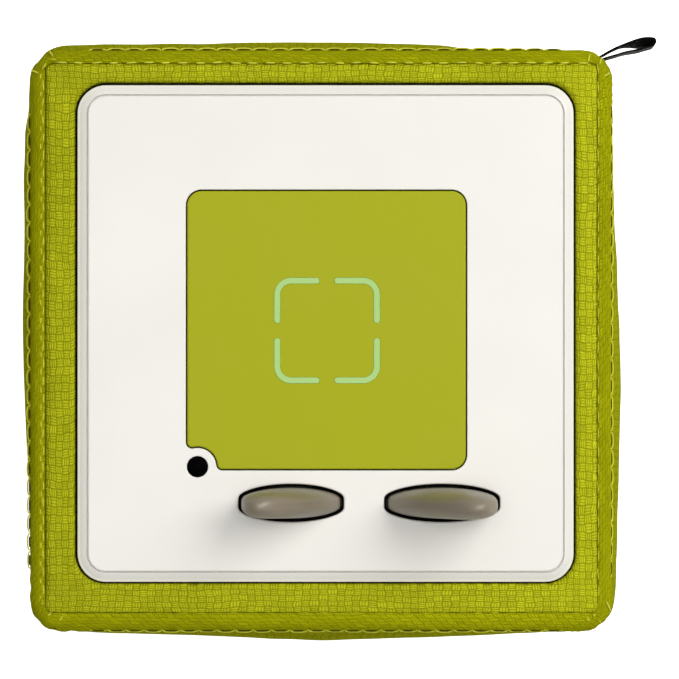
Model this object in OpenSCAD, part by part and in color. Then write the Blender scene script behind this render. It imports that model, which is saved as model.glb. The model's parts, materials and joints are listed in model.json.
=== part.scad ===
// Audio story player: a padded fabric cube with a moulded top plate, a pad that a figure stands on,
// and two soft ears that are pinched to set the volume.
// Millimetres. The origin is the centre of the charging recess in the underside, +Z up, ears on the -Y side.

/* [Body] */
// Width of the padded cover across its left and right sides at mid height
body_w = 118.4; // [116:0.1:121]
// Depth of the padded cover across its front and back sides at mid height
body_d = 118.2; // [116:0.1:121]
// Height of the flat top above the surface that the player stands on
body_h = 120; // [119:0.5:130]
// How far each side swells out past its top and bottom seams
side_swell = 3.9; // [3.4:0.1:4.4]
// How far the upright corners are drawn in from the middle of the sides
corner_draw = 2.4; // [0:0.1:3]
// Plan radius of the cover's upright corners
corner_r = 6; // [3:0.5:7]
// How far the sewn cover sits off the plate's centre, left to right
cover_dx = -1; // [-1.2:0.1:1.2]
// How far the sewn cover sits off the plate's centre, front to back
cover_dy = -1.3; // [-1.4:0.1:1.2]

/* [Top plate] */
// Width of the moulded plate
plate_w = 94.3; // [93:0.1:95]
// Depth of the moulded plate
plate_d = 94.2; // [93:0.1:95]
// Corner radius of the plate
plate_r = 5.4; // [5:0.1:7]
// Width of the sloping rim round the plate
rim_w = 2.1; // [1:0.1:3]
// Width of the pad that the figure stands on
pad_w = 52.9; // [50:0.1:54]
// Depth of the pad
pad_d = 52.6; // [50:0.1:54]
// Corner radius of the pad
pad_r = 2.7; // [2:0.1:4]
// Thickness of the pad
pad_t = 1.3; // [1:0.1:1.5]
// Radius of the hollow in the pad's corner, round the status light
notch_r = 3.8; // [3:0.1:4.5]
// Outer size of the square formed by the four corner marks
mark_size = 20; // [16:0.5:24]
// Width of the line that the marks are drawn with
mark_line = 1.15; // [0.8:0.05:1.6]
// Gap between neighbouring marks
mark_gap = 2.8; // [2:0.1:4]
// Outer corner radius of the marks
mark_r = 3.2; // [2:0.1:4]
// Radius of the status light
light_r = 1.95; // [1.5:0.05:2.2]

/* [Ears] */
// Length of the small ear's slot
small_slot_l = 20; // [18:0.1:20]
// Length of the large ear's slot
large_slot_l = 21.9; // [20:0.1:22]
// Width of both slots
slot_w = 7.2; // [7:0.1:8]
// Height of the small ear above the plate
small_ear_h = 20; // [16:0.5:24]
// Height of the large ear above the plate
large_ear_h = 27; // [22:0.5:30]
// Gap between an ear and its slot
ear_gap = 0.7; // [0.6:0.05:0.9]
// Radius of the pins that each ear rocks on
ear_pin_r = 1.5; // [1.2:0.1:1.8]

/* [Case] */
// Half width of the hard case inside the cover
case_half = 50; // [49:0.1:50.1]
// Thickness of the case's walls
wall = 2.4; // [2:0.1:2.6]

/* [Underside] */
// Radius of the charging recess
recess_r = 31; // [28:0.5:32]
// Depth of the charging recess
recess_depth = 4; // [3:0.5:4]
// Outer radius of the ring round the recess
foot_r = 38; // [36:0.5:39]

/* [Headphone socket] */
// Radius of the socket's bore, for a 3.5 mm plug
jack_bore_r = 1.8; // [1.78:0.01:1.85]
// Depth of the socket's bore
jack_bore_l = 14; // [12:0.5:15]

/* [Hidden] */
$fn = 48;
GAP = 0.25;
BIG = 300;

// Cover
seam_half = [body_w / 2 - side_swell, body_d / 2 - side_swell];
seam_top_z = body_h - 3;
seam_low_z = 3;
panel_edge = 2.15;                              // thickness of a side panel where it is sewn
panel_in = seam_half - [panel_edge, panel_edge];
deck_z = body_h - 6;                            // top of the case's deck
base_low_z = 0.6;                               // underside of the base plate's ring
base_z = base_low_z + recess_depth;             // underside of the base plate
base_t = 2.4;
floor_z = base_z + base_t;                      // inner floor of the case
skin_z = body_h - 3;                            // underside of the plate's top wall
pad_c = [0.1, 0.75];
light_c = [-24.4, -25.1];
mark_c = [0.1, 0.65];

// Ears
ear_y = -31.95;
small_x = -6.7;
large_x = 21.85;
pivot_z = body_h - 8;
arm_reach = 7;                                  // from the pivot to the middle of the switch
board_z = 104.5;                                // underside of the control board
board_t = 1.6;
switch_top = board_z + board_t + 3.5;
plunger_top = switch_top + 0.6;
hub_r = 2.6;

// Main board, battery and speaker
main_z = 34;
tray_z = 12;
cell_r = 7.1;
cell_l = 50;
speaker_c = [-case_half + wall, 0, 72];
lug_at = 30.5;                                  // from the loudspeaker's axis to its screws
jack_x = 30;
jack_z = main_z + board_t + 3.5;
jack_mouth_y = 55.4;

// Points of a rectangle with rounded corners, centred on the origin
function round_rect(w, d, r, n = 6) = [
    for (q = [0:3], i = [0:n])
        let (a = 90 * q + 90 * i / n, sx = (q == 0 || q == 3) ? 1 : -1, sy = q < 2 ? 1 : -1)
        [sx * (w / 2 - r) + r * cos(a), sy * (d / 2 - r) + r * sin(a)]
];

// The same rectangle with points along its straight sides as well, so that it can blend into a circle
function dense_rect(w, d, r, turns = 3, flats = 6) =
    let (p = round_rect(w, d, r, turns), m = turns + 1)
    [for (i = [0:len(p) - 1], k = [0:(i % m == turns ? flats - 1 : 0)])
        p[i] + (p[(i + 1) % len(p)] - p[i]) * (i % m == turns ? k / flats : 0)];

// Points of the barrel-shaped outline of an ear and of its slot
function barrel(half_l, half_w, n = 32, power = 2.6) = [
    for (i = [0:n - 1])
        let (a = 360 * i / n, c = cos(a), s = sin(a), k = pow(pow(abs(c), power) + pow(abs(s), power), -1 / power))
        [half_l * k * c, half_w * k * s]
];

// Skins a stack of closed rings, each a list of [x, y, z], and closes both ends with fans
module loft(rings) {
    m = len(rings[0]);
    k = len(rings);
    points = [for (r = rings, p = r) p];
    sides = [for (i = [0:k - 2], j = [0:m - 1], h = [0, 1])
        let (a = i * m + j, b = i * m + (j + 1) % m)
        h == 0 ? [a, a + m, b + m] : [a, b + m, b]];
    low = [for (j = [1:m - 2]) [0, j, j + 1]];
    high = [for (j = [1:m - 2]) [(k - 1) * m, (k - 1) * m + j + 1, (k - 1) * m + j]];
    polyhedron(points, concat(low, sides, high), convexity = 8);
}

// Skins closed profiles set in a loop, so that the solid has a hole through its middle
module loop_loft(profiles) {
    m = len(profiles[0]);
    k = len(profiles);
    points = [for (r = profiles, p = r) p];
    faces = [for (i = [0:k - 1], j = [0:m - 1], h = [0, 1])
        let (a = i * m + j, b = i * m + (j + 1) % m, c = ((i + 1) % k) * m + (j + 1) % m, d = ((i + 1) % k) * m + j)
        h == 0 ? [a, b, c] : [a, c, d]];
    polyhedron(points, faces, convexity = 8);
}

// A tube along a route, with mitred bends
module tube(route, r, sides = 8) {
    k = len(route) - 1;
    dirs = [for (i = [0:k])
        let (v = route[min(i + 1, k)] - route[max(i - 1, 0)]) v / norm(v)];
    loft([for (i = [0:k])
        let (d = dirs[i], up = abs(d[2]) > 0.9 ? [0, 1, 0] : [0, 0, 1],
             u = cross(d, up) / norm(cross(d, up)), v = cross(u, d))
        [for (j = [0:sides - 1]) route[i] + r * (cos(360 * j / sides) * u + sin(360 * j / sides) * v)]]);
}

module screw(head_r, head_h, shank_r, length) {
    cylinder(r = head_r, h = head_h);
    translate([0, 0, -0.01]) cylinder(r = shank_r, h = length + head_h);
}

module block(x, y, z) {
    translate([x[0], y[0], z[0]]) cube([x[1] - x[0], y[1] - y[0], z[1] - z[0]]);
}

// ---- Cover ----

// How far the side stands out at height t, from 0 at the seams to 1 in the middle
function swell(t) = pow(max(0, 1 - pow(abs(2 * t - 1), 2.2)), 0.9);

function panel_ring(half, across, t, z, flats = 8, turns = 3) =
    let (k = swell(t), cx = half - side_swell + (side_swell - corner_draw) * k,
         cy = across - side_swell + (side_swell - corner_draw) * k, b = corner_draw * k)
    concat(
        [[half - side_swell - panel_edge, -(across - side_swell - panel_edge), z]],
        [for (i = [0:turns - 1]) let (a = -45 + 45 * i / turns)
            [cx - corner_r + corner_r * cos(a), -(cy - corner_r) + corner_r * sin(a), z]],
        [for (i = [0:flats]) let (u = -1 + 2 * i / flats) [cx + b * (1 - u * u), u * (cy - corner_r), z]],
        [for (i = [1:turns]) let (a = 45 * i / turns)
            [cx - corner_r + corner_r * cos(a), cy - corner_r + corner_r * sin(a), z]],
        [[half - side_swell - panel_edge, across - side_swell - panel_edge, z]]);

module side_panel(half, across, turn, levels = 12) {
    color("#9da019")
    translate([cover_dx, cover_dy, 0])
    rotate([0, 0, turn])
    loft([for (i = [0:levels]) let (t = (1 - cos(180 * i / levels)) / 2)
        panel_ring(half, across, t, seam_low_z + t * (seam_top_z - seam_low_z))]);
}

module cover_left() {
    side_panel(body_w / 2, body_d / 2, 180);
}

module cover_right() {
    side_panel(body_w / 2, body_d / 2, 0);
}

module cover_front() {
    side_panel(body_d / 2, body_w / 2, -90);
}

module cover_back() {
    difference() {
        side_panel(body_d / 2, body_w / 2, 90);
        translate([jack_x, 0, jack_z]) rotate([-90, 0, 0]) cylinder(r = 5.3, h = BIG);
        translate([jack_x, eyelet_y, jack_z]) rotate([-90, 0, 0]) cylinder(r = 7.4, h = BIG);
    }
}

// Outline of the top and bottom panels at the seam
outline = [for (p = dense_rect(2 * seam_half[0], 2 * seam_half[1], corner_r)) p + [cover_dx, cover_dy]];

// One profile of the top panel, from the seam (f = 0) to the plate (f = 1)
top_profile = [
    [0, seam_top_z + 0.05], [0.03, 118], [0.14, 118.95], [0.38, 119.3], [0.52, 119.7], [0.78, 119.8],
    [1, 119], [1, deck_z + 0.2], [0.36, deck_z + 0.2], [0.36, seam_top_z + 0.05]
];

module cover_top() {
    inner = dense_rect(plate_w + 0.8, plate_d + 0.8, plate_r + 0.4);
    color("#9fa21b")
    loop_loft([for (i = [0:len(outline) - 1]) [for (p = top_profile)
        let (q = outline[i] * (1 - p[0]) + inner[i] * p[0]) [q[0], q[1], p[1]]]]);
}

// One profile of the bottom panel, from the seam (f = 0) to the ring round the recess (f = 1)
bottom_profile = [
    [0, seam_low_z - 0.05], [0.3, seam_low_z - 0.05], [0.3, base_z - 0.2], [1, base_z - 0.2],
    [1, 0.95], [0.3, 0.95], [0.12, 1.2], [0.03, 1.9]
];

module cover_bottom() {
    color("#9fa21b")
    loop_loft([for (i = [0:len(outline) - 1])
        let (v = outline[i], c = v / norm(v) * (foot_r + 0.7))
        [for (p = bottom_profile) let (q = v * (1 - p[0]) + c * p[0]) [q[0], q[1], p[1]]]]);
}

module foam_jacket() {
    color("#6f7076")
    difference() {
        translate([cover_dx, cover_dy, base_z])
            linear_extrude(deck_z - base_z)
                polygon(round_rect(2 * panel_in[0] - 0.4, 2 * panel_in[1] - 0.4, 3));
        translate([0, 0, base_z - 1])
            linear_extrude(BIG) polygon(round_rect(2 * case_half + 0.4, 2 * case_half + 0.4, 6.2));
        translate([jack_x, 0, jack_z]) rotate([-90, 0, 0]) cylinder(r = 5.6, h = BIG);
    }
}

// A folded ribbon sewn into the upright corner, its width upright
loop_low_z = 103;
loop_width = 10;
loop_root = [52.2, 52.4];
loop_points = [
    [-0.3, 0.35], [0.47, 0.8], [1.4, 1.3], [2.6, 2], [4.1, 2.75], [5.6, 3.3], [7.1, 3.65], [9, 3.9], [10.3, 3.85],
    [10.8, 3.45], [10.2, 3], [9.3, 2.6], [7.6, 2], [6.1, 1.7], [4.6, 1.4], [3.15, 0.9], [1.2, 0.3], [0.2, -0.1]
];

module hanging_loop() {
    half_t = 0.25;
    k = len(loop_points) - 1;
    side = [for (i = [0:k])
        let (v = loop_points[min(i + 1, k)] - loop_points[max(i - 1, 0)]) [-v[1], v[0]] / norm(v) * half_t];
    color("#17181a")
    translate([loop_root[0], loop_root[1], loop_low_z])
    linear_extrude(loop_width)
    polygon(concat([for (i = [0:k]) loop_points[i] + side[i]], [for (i = [k:-1:0]) loop_points[i] - side[i]]));
}

eyelet_y = jack_mouth_y + 0.9;                  // the eyelet's flat seat on the back panel

module jack_eyelet() {
    color("#2a2b2d")
    translate([jack_x, 0, jack_z])
    rotate([-90, 0, 0])
    difference() {
        union() {
            translate([0, 0, 51.5]) cylinder(r = 5.2, h = eyelet_y - 51);
            translate([0, 0, eyelet_y]) cylinder(r = 7.2, h = 0.8);
        }
        cylinder(r = 4, h = BIG);
    }
}

// ---- Case ----

module upright_posts(spots, z0, z1, r) {
    for (p = spots) translate([p[0], p[1], z0]) cylinder(r = r, h = z1 - z0);
}

function four(x, y) = [[x, y], [-x, y], [-x, -y], [x, -y]];

case_spots = four(44, 44);
plate_spots = four(41.5, 41.5);
control_spots = [[-27.5, -44.2], [33.5, -44.2], [-27.5, -16], [41, -16]];
main_spots = four(36, 30);
tray_spots = [[-30, -17], [30, -17], [-30, 17], [30, 17]];

module case_shell() {
    color("#d8d8d4")
    difference() {
        union() {
            difference() {
                translate([0, 0, floor_z])
                    linear_extrude(deck_z - floor_z) polygon(round_rect(2 * case_half, 2 * case_half, 6));
                translate([0, 0, floor_z - 1])
                    linear_extrude(deck_z - wall - floor_z + 1)
                        polygon(round_rect(2 * (case_half - wall), 2 * (case_half - wall), 6 - wall));
            }
            upright_posts(case_spots, floor_z, floor_z + 14, 4);
            upright_posts(control_spots, board_z + board_t, deck_z - 1, 2.6);
            on_speaker_axis() for (a = [45:90:315]) rotate([0, 0, a]) translate([lug_at, 0, -1]) cylinder(r = 3.2, h = 2.2);
        }
        // windows in the deck for the figure's magnet and aerial, and for the ears
        block([-29, 29], [-11, 33], [deck_z - wall - 1, BIG]);
        block([-20.5, 36.5], [-41, -21.5], [deck_z - wall - 1, BIG]);
        translate([light_c[0], light_c[1], board_z]) cylinder(r = 2.4, h = 20);
        upright_posts(case_spots, floor_z - 1, floor_z + 11, 1.25);
        upright_posts(control_spots, board_z, board_z + board_t + 5, 0.85);
        upright_posts(plate_spots, deck_z - wall - 1, BIG, 1.5);
        on_speaker_axis() for (a = [45:90:315]) rotate([0, 0, a]) translate([lug_at, 0, -1.4]) cylinder(r = 1.25, h = 4);
        // sound holes in rings round the loudspeaker's axis
        translate([-case_half - 1, speaker_c[1], speaker_c[2]]) rotate([0, 90, 0]) {
            cylinder(r = 1.4, h = wall + 2);
            for (ring = [1:4], i = [0:6 * ring - 1])
                rotate([0, 0, 60 * i / ring]) translate([4.6 * ring, 0, 0]) cylinder(r = 1.4, h = wall + 2, $fn = 16);
        }
        translate([jack_x, case_half - wall - 1, jack_z]) rotate([-90, 0, 0]) cylinder(r = 3.9, h = wall + 2);
    }
}

module base_plate() {
    color("#e4e2dc")
    difference() {
        union() {
            translate([0, 0, base_z])
                linear_extrude(base_t) polygon(round_rect(2 * case_half, 2 * case_half, 6));
            translate([0, 0, base_low_z]) cylinder(r = foot_r, h = recess_depth + 1, $fn = 96);
            upright_posts(main_spots, floor_z - 0.5, main_z, 3);
            upright_posts(tray_spots, floor_z - 0.5, tray_z, 3);
        }
        translate([0, 0, base_low_z - 1]) cylinder(r = recess_r, h = recess_depth + 1, $fn = 96);
        translate([0, 0, base_low_z - 1]) difference() {
            cylinder(r = foot_r - 1.5, h = 2.4, $fn = 96);
            cylinder(r = recess_r + 2, h = 2.4, $fn = 96);
        }
        upright_posts(case_spots, base_z - 1, floor_z + 1, 1.6);
        upright_posts(case_spots, base_z - 1, base_z + 1.5, 3);
        translate([0, 0, base_z - 1]) difference() {
            cylinder(r = 12.6, h = 1.5);
            translate([0, 0, -1]) cylinder(r = 8.4, h = 4);
        }
        translate([0, 0, base_z - 1]) cylinder(r = 4.1, h = 1.5);
        upright_posts(main_spots, main_z - 8, main_z + 1, 0.95);
        upright_posts(tray_spots, tray_z - 4.5, tray_z + 1, 0.95);
        for (a = [0, 120, 240]) rotate([0, 0, a]) translate([10.5, 0, base_z - 1]) cylinder(r = 1.1, h = base_t + 2);
        translate([0, 0, base_z - 1]) cylinder(r = 1.1, h = base_t + 2);
    }
}

module foot_ring() {
    color("#3a3b3c")
    difference() {
        cylinder(r = foot_r - 1.7, h = 2, $fn = 96);
        translate([0, 0, -1]) cylinder(r = recess_r + 2.2, h = 4, $fn = 96);
    }
}

module contact_ring() {
    color("#c9a24a") {
        translate([0, 0, base_z]) difference() {
            cylinder(r = 12.5, h = 0.5);
            translate([0, 0, -1]) cylinder(r = 8.5, h = 2);
        }
        for (a = [0, 120, 240]) rotate([0, 0, a]) translate([10.5, 0, base_z + 0.4]) cylinder(r = 0.9, h = base_t + 1.2);
    }
}

module contact_button() {
    color("#c9a24a") {
        translate([0, 0, base_z]) cylinder(r = 4, h = 0.5);
        translate([0, 0, base_z + 0.4]) cylinder(r = 0.9, h = base_t + 1.2);
    }
}

module charge_board() {
    color("#1f6b45")
    difference() {
        translate([0, 0, floor_z + 0.1]) cylinder(r = 14.5, h = 1.2);
        for (a = [0, 120, 240]) rotate([0, 0, a]) translate([10.5, 0, floor_z]) cylinder(r = 0.95, h = 2);
        translate([0, 0, floor_z]) cylinder(r = 0.95, h = 2);
    }
}

module case_screws() {
    color("#8d9094")
    for (p = case_spots) translate([p[0], p[1], base_z + 0.1]) screw(2.7, 1.4, 1.2, 11);
}

// ---- Top plate ----

// Sweeps an upright profile round a rounded rectangle; the profile's x runs from the corner's centre
module swept_frame(w, d, r) {
    for (s = [[1, 1, 0], [-1, 1, 90], [-1, -1, 180], [1, -1, 270]])
        translate([s[0] * (w / 2 - r), s[1] * (d / 2 - r), 0]) rotate([0, 0, s[2]])
            rotate_extrude(angle = 90) children();
    for (s = [[1, 0], [-1, 180]])
        rotate([0, 0, s[1]]) translate([w / 2 - r, d / 2 - r, 0]) rotate([90, 0, 0]) linear_extrude(d - 2 * r) children();
    for (s = [90, 270])
        rotate([0, 0, s]) translate([d / 2 - r, w / 2 - r, 0]) rotate([90, 0, 0]) linear_extrude(w - 2 * r) children();
}

module slot_hole(x, length) {
    translate([x, ear_y, 100]) linear_extrude(BIG) polygon(barrel(length / 2, slot_w / 2));
}

module bracket_spots(x, length) {
    for (s = [-1, 1]) translate([x + s * (length / 2 - 3.5), ear_y - s * 7.2, 0]) children();
}

module top_plate() {
    color("#f1ede4")
    difference() {
        union() {
            translate([0, 0, skin_z])
                linear_extrude(body_h - skin_z) polygon(round_rect(plate_w - 4, plate_d - 4, plate_r - 2));
            swept_frame(plate_w, plate_d, plate_r)
                polygon([[plate_r, deck_z], [plate_r, 118.6], [plate_r - rim_w, 119.75], [plate_r - rim_w - 0.4, body_h],
                         [plate_r - rim_w - 0.8, body_h], [plate_r - rim_w - 0.8, skin_z], [plate_r - 2.2, skin_z - 0.6],
                         [plate_r - 2.2, deck_z]]);
            upright_posts(plate_spots, deck_z, skin_z + 0.5, 3);
        }
        translate([0, 0, body_h - pad_t]) linear_extrude(BIG) difference() {
            translate(pad_c) polygon(round_rect(pad_w + 2 * GAP, pad_d + 2 * GAP, pad_r + GAP));
            translate(light_c) circle(r = notch_r - GAP);
        }
        translate([light_c[0], light_c[1], skin_z - 1]) cylinder(r = light_r + 0.05, h = BIG);
        slot_hole(small_x, small_slot_l);
        slot_hole(large_x, large_slot_l);
        upright_posts(plate_spots, deck_z - 1, skin_z + 1.6, 1.2);
        bracket_spots(small_x, small_slot_l) translate([0, 0, skin_z - 1]) cylinder(r = 1.05, h = 2.6);
        bracket_spots(large_x, large_slot_l) translate([0, 0, skin_z - 1]) cylinder(r = 1.05, h = 2.6);
    }
}

module plate_screws() {
    color("#8d9094")
    for (p = plate_spots) translate([p[0], p[1], deck_z - wall - 1.8]) screw(2.4, 1.8, 1.15, 6.4);
}

module target_pad() {
    color("#acae2c")
    translate([0, 0, body_h - pad_t])
    difference() {
        linear_extrude(pad_t) difference() {
            translate(pad_c) polygon(round_rect(pad_w, pad_d, pad_r));
            translate(light_c) circle(r = notch_r);
        }
        translate([0, 0, pad_t - mark_depth]) linear_extrude(1) marks(0.02);
    }
}

mark_depth = 0.3;

// The four rounded corner marks; grow widens them for their pockets in the pad
module marks(grow = 0) {
    half = mark_size / 2;
    for (q = [0:3]) translate(mark_c) rotate([0, 0, 90 * q]) {
        intersection() {
            difference() {
                translate([half - mark_r, half - mark_r]) circle(r = mark_r + grow);
                translate([half - mark_r, half - mark_r]) circle(r = mark_r - mark_line - grow);
            }
            translate([half - mark_r, half - mark_r]) square(mark_r + 1);
        }
        arm = half - mark_r - mark_gap / 2 - mark_line / 2;
        translate([half - mark_line - grow, half - mark_r - arm]) square([mark_line + 2 * grow, arm]);
        translate([half - mark_r - arm, half - mark_line - grow]) square([arm, mark_line + 2 * grow]);
        translate([half - mark_line / 2, half - mark_r - arm]) circle(r = mark_line / 2 + grow);
        translate([half - mark_r - arm, half - mark_line / 2]) circle(r = mark_line / 2 + grow);
    }
}

module target_marks() {
    color("#b6d98c")
    translate([0, 0, body_h - mark_depth]) linear_extrude(mark_depth) marks();
}

module status_light() {
    color("#101113")
    translate([light_c[0], light_c[1], 0]) {
        translate([0, 0, board_z + board_t + 2.3]) cylinder(r = 1.9, h = body_h - board_z - board_t - 3.1);
        translate([0, 0, skin_z - 1.6]) cylinder(r = 3.2, h = 1.5);
        intersection() {
            translate([0, 0, body_h + 0.2 - 8]) sphere(r = 8);
            translate([0, 0, body_h - 1]) cylinder(r = light_r, h = 2);
        }
    }
}

module antenna_board() {
    color("#1f6b45")
    difference() {
        block([-24, 24], [-20.5, 22], [skin_z - 1.1, skin_z]);
        translate([0, 0, skin_z - 2]) cylinder(r = 8.8, h = 3);
    }
}

// One unbroken track of square turns, laid from the outside in
module antenna_coil() {
    turns = 4;
    pitch = 0.55;
    track = 0.3;
    color("#b87333")
    translate([0, pad_c[1], skin_z - 1.2])
    linear_extrude(0.1)
    for (i = [0:turns - 1]) {
        w = 42 - 2 * pitch * i;
        d = 38 - 2 * pitch * i;
        translate([-w / 2, -d / 2]) square([w, track]);
        translate([w / 2 - track, -d / 2]) square([track, d]);
        translate([-w / 2 + pitch, d / 2 - track]) square([w - pitch, track]);
        translate([-w / 2 + pitch, -d / 2 + pitch]) square([track, d - pitch]);
        translate([-w / 2 + pitch, -d / 2 + pitch]) square([pitch, track]);
    }
}

module magnet_holder() {
    color("#2f3133")
    translate([0, 0, skin_z - 5.4])
    difference() {
        cylinder(r = 8.4, h = 5.4);
        translate([0, 0, 1]) cylinder(r = 6.05, h = 5);
    }
}

module figure_magnet() {
    color("#a9acb0") translate([0, 0, skin_z - 4.4]) cylinder(r = 6, h = 4.2);
}

// ---- Ears ----

// One level of an ear: u runs from 0 at the plate to 1 at the tip, which leans to the outer side
function ear_ring(half_l, half_w, height, u) =
    let (inner = half_l - 1.27 * half_l * pow(u, 1.2), outer = -half_l + 0.6 * u * u,
         a = (inner - outer) / 2 * sqrt(1 - 0.9995 * pow(u, 5)), b = (half_w - 0.65 * u) * sqrt(1 - 0.9995 * pow(u, 8)))
    [for (p = barrel(a, b, 24)) [p[0] + (inner + outer) / 2, p[1], u * height]];

ear_levels = [0.02, 0.15, 0.3, 0.45, 0.6, 0.72, 0.82, 0.9, 0.95, 0.98, 0.995, 1];

module ear_skin(x, length, height, lean) {
    half_l = length / 2 - ear_gap;
    half_w = slot_w / 2 - ear_gap;
    root = [for (p = barrel(half_l, half_w, 24)) [p[0], p[1], 3.2 - (body_h - pivot_z)]];
    color("#83786a")
    translate([x, ear_y, body_h])
    difference() {
        mirror([lean > 0 ? 1 : 0, 0, 0])
            loft(concat([root], [for (u = ear_levels) ear_ring(half_l, half_w, height, u)]));
        block([-5.05, 5.05], [-1.05, 1.05], [-20, 7.05]);
    }
}

module ear_left() {
    ear_skin(small_x, small_slot_l, small_ear_h, -1);
}

module ear_right() {
    ear_skin(large_x, large_slot_l, large_ear_h, 1);
}

// The hard core of an ear: a blade in the skin, a hub on two pins, and the arm that presses the switch
module ear_carrier(x, length) {
    hub_l = length - 1.4;
    color("#3c3d40")
    translate([x, ear_y, pivot_z]) {
        block([-5, 5], [-1, 1], [0, body_h - pivot_z + 7]);
        rotate([0, 90, 0]) {
            translate([0, 0, -hub_l / 2]) cylinder(r = hub_r, h = hub_l);
            translate([0, 0, -hub_l / 2 - 2.2]) cylinder(r = ear_pin_r, h = hub_l + 4.4);
        }
        block([-2.5, 2.5], [-arm_reach - 2, 0], [-1.5, 0.5]);
    }
}

module ear_carrier_left() {
    ear_carrier(small_x, small_slot_l);
}

module ear_carrier_right() {
    ear_carrier(large_x, large_slot_l);
}

module ear_bracket(x, length) {
    inside = length / 2 - 0.5;
    cheek = 1.8;
    color("#232426")
    translate([x, ear_y, 0])
    difference() {
        union() {
            for (s = [-1, 1]) {
                block(s > 0 ? [inside, inside + cheek] : [-inside - cheek, -inside], [-3.4, 3.4], [pivot_z - 3.2, skin_z]);
                block([-inside - cheek, inside + cheek], s > 0 ? [4.4, 6.2] : [-6.2, -4.4], [skin_z - 1.8, skin_z]);
                block(s > 0 ? [inside, inside + cheek] : [-inside - cheek, -inside], [-6.2, 6.2], [skin_z - 1.8, skin_z]);
                translate([s * (length / 2 - 3.5), -s * 7.2, skin_z - 1.8]) cylinder(r = 2.4, h = 1.8);
            }
        }
        translate([-BIG / 2, 0, pivot_z]) rotate([0, 90, 0]) cylinder(r = ear_pin_r + 0.05, h = BIG);
        for (s = [-1, 1])
            translate([s * (length / 2 - 3.5), -s * 7.2, skin_z - 3]) cylinder(r = 1.2, h = 4);
    }
}

module ear_bracket_left() {
    ear_bracket(small_x, small_slot_l);
}

module ear_bracket_right() {
    ear_bracket(large_x, large_slot_l);
}

module bracket_screws() {
    color("#8d9094") {
        bracket_spots(small_x, small_slot_l) translate([0, 0, skin_z - 3]) screw(2, 1.2, 1, 3.2);
        bracket_spots(large_x, large_slot_l) translate([0, 0, skin_z - 3]) screw(2, 1.2, 1, 3.2);
    }
}

// ---- Control board ----

module control_board() {
    color("#1f6b45")
    difference() {
        block([-31, 44.5], [-47, -12.6], [board_z, board_z + board_t]);
        upright_posts(control_spots, board_z - 1, board_z + 3, 1.1);
    }
}

module control_board_screws() {
    color("#8d9094")
    for (p = control_spots) translate([p[0], p[1], board_z - 1.4]) screw(1.9, 1.4, 0.8, 5);
}

module switch_body(x) {
    color("#2a2b2d")
    translate([x, ear_y - arm_reach, board_z + board_t])
    difference() {
        block([-3, 3], [-3, 3], [0, 3.5]);
        translate([0, 0, 1.5]) cylinder(r = 1.8, h = 3);
    }
}

module switch_left() {
    switch_body(small_x);
}

module switch_right() {
    switch_body(large_x);
}

module plunger(x) {
    color("#b8a98e")
    translate([x, ear_y - arm_reach, switch_top - 1.5]) cylinder(r = 1.75, h = plunger_top - switch_top + 1.5);
}

module plunger_left() {
    plunger(small_x);
}

module plunger_right() {
    plunger(large_x);
}

module status_led() {
    color("#e8e6da")
    translate([light_c[0], light_c[1], board_z + board_t]) block([-1.6, 1.6], [-1.4, 1.4], [0, 1.9]);
}

// ---- Main board ----

module main_board() {
    color("#1f6b45")
    difference() {
        block([-42, 42], [-36, 46], [main_z, main_z + board_t]);
        upright_posts(main_spots, main_z - 1, main_z + 3, 1.1);
    }
}

module main_board_screws() {
    color("#8d9094")
    for (p = main_spots) translate([p[0], p[1], main_z + board_t + 1.4]) mirror([0, 0, 1]) screw(1.9, 1.4, 0.9, 7);
}

module processor() {
    color("#1c1d1f") block([-7, 7], [2, 16], [main_z + board_t, main_z + board_t + 1.4]);
}

module radio_module() {
    color("#b9bcc0") block([14, 32], [-22, 3], [main_z + board_t, main_z + board_t + 3.1]);
}

module card_socket() {
    color("#c4c7ca")
    difference() {
        block([-34, -19], [-24, -9], [main_z + board_t, main_z + board_t + 1.9]);
        block([-32.1, -20.9], [-25, -9.9], [main_z + board_t + 0.4, main_z + board_t + 1.5]);
    }
}

module memory_card() {
    color("#26272a") block([-32, -21], [-26, -11], [main_z + board_t + 0.45, main_z + board_t + 1.4]);
}

module board_connectors() {
    color("#efeadb") {
        block([-40, -33], [10, 16], [main_z + board_t, main_z + board_t + 5]);
        block([-40, -33], [20, 26], [main_z + board_t, main_z + board_t + 5]);
        block([-40, -33], [-4, 2], [main_z + board_t, main_z + board_t + 5]);
        block([-8, 10], [-22, -17], [main_z + board_t, main_z + board_t + 3]);
        block([-8, 10], [-20, -16], [board_z - 3, board_z]);
    }
}

module headphone_socket() {
    color("#1b1c1e")
    difference() {
        union() {
            block([jack_x - 6, jack_x + 6], [35, 46.5], [main_z + board_t, main_z + board_t + 7]);
            translate([jack_x, 46, jack_z]) rotate([-90, 0, 0]) cylinder(r = 3.5, h = jack_mouth_y - 46);
        }
        translate([jack_x, jack_mouth_y - jack_bore_l, jack_z]) rotate([-90, 0, 0])
            cylinder(r = jack_bore_r, h = jack_bore_l + 1);
    }
}

// ---- Battery ----

cell_y = [-1, 0, 1];
cell_pitch = 2 * cell_r + 0.3;
cell_z = tray_z + 1.2 + cell_r + 0.3;

module battery_tray() {
    color("#2f3133")
    difference() {
        union() {
            block([-34, 34], [-25, 25], [tray_z, tray_z + 1.2]);
            for (s = [-1, 1]) block(s > 0 ? [25.6, 27] : [-27, -25.6], [-23.5, 23.5], [tray_z + 1, tray_z + 11]);
            for (s = [-1, 1]) block([-27, 27], s > 0 ? [21.8, 23.3] : [-23.3, -21.8], [tray_z + 1, tray_z + 8]);
        }
        upright_posts(tray_spots, tray_z - 1, tray_z + 3, 1.1);
    }
}

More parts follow.
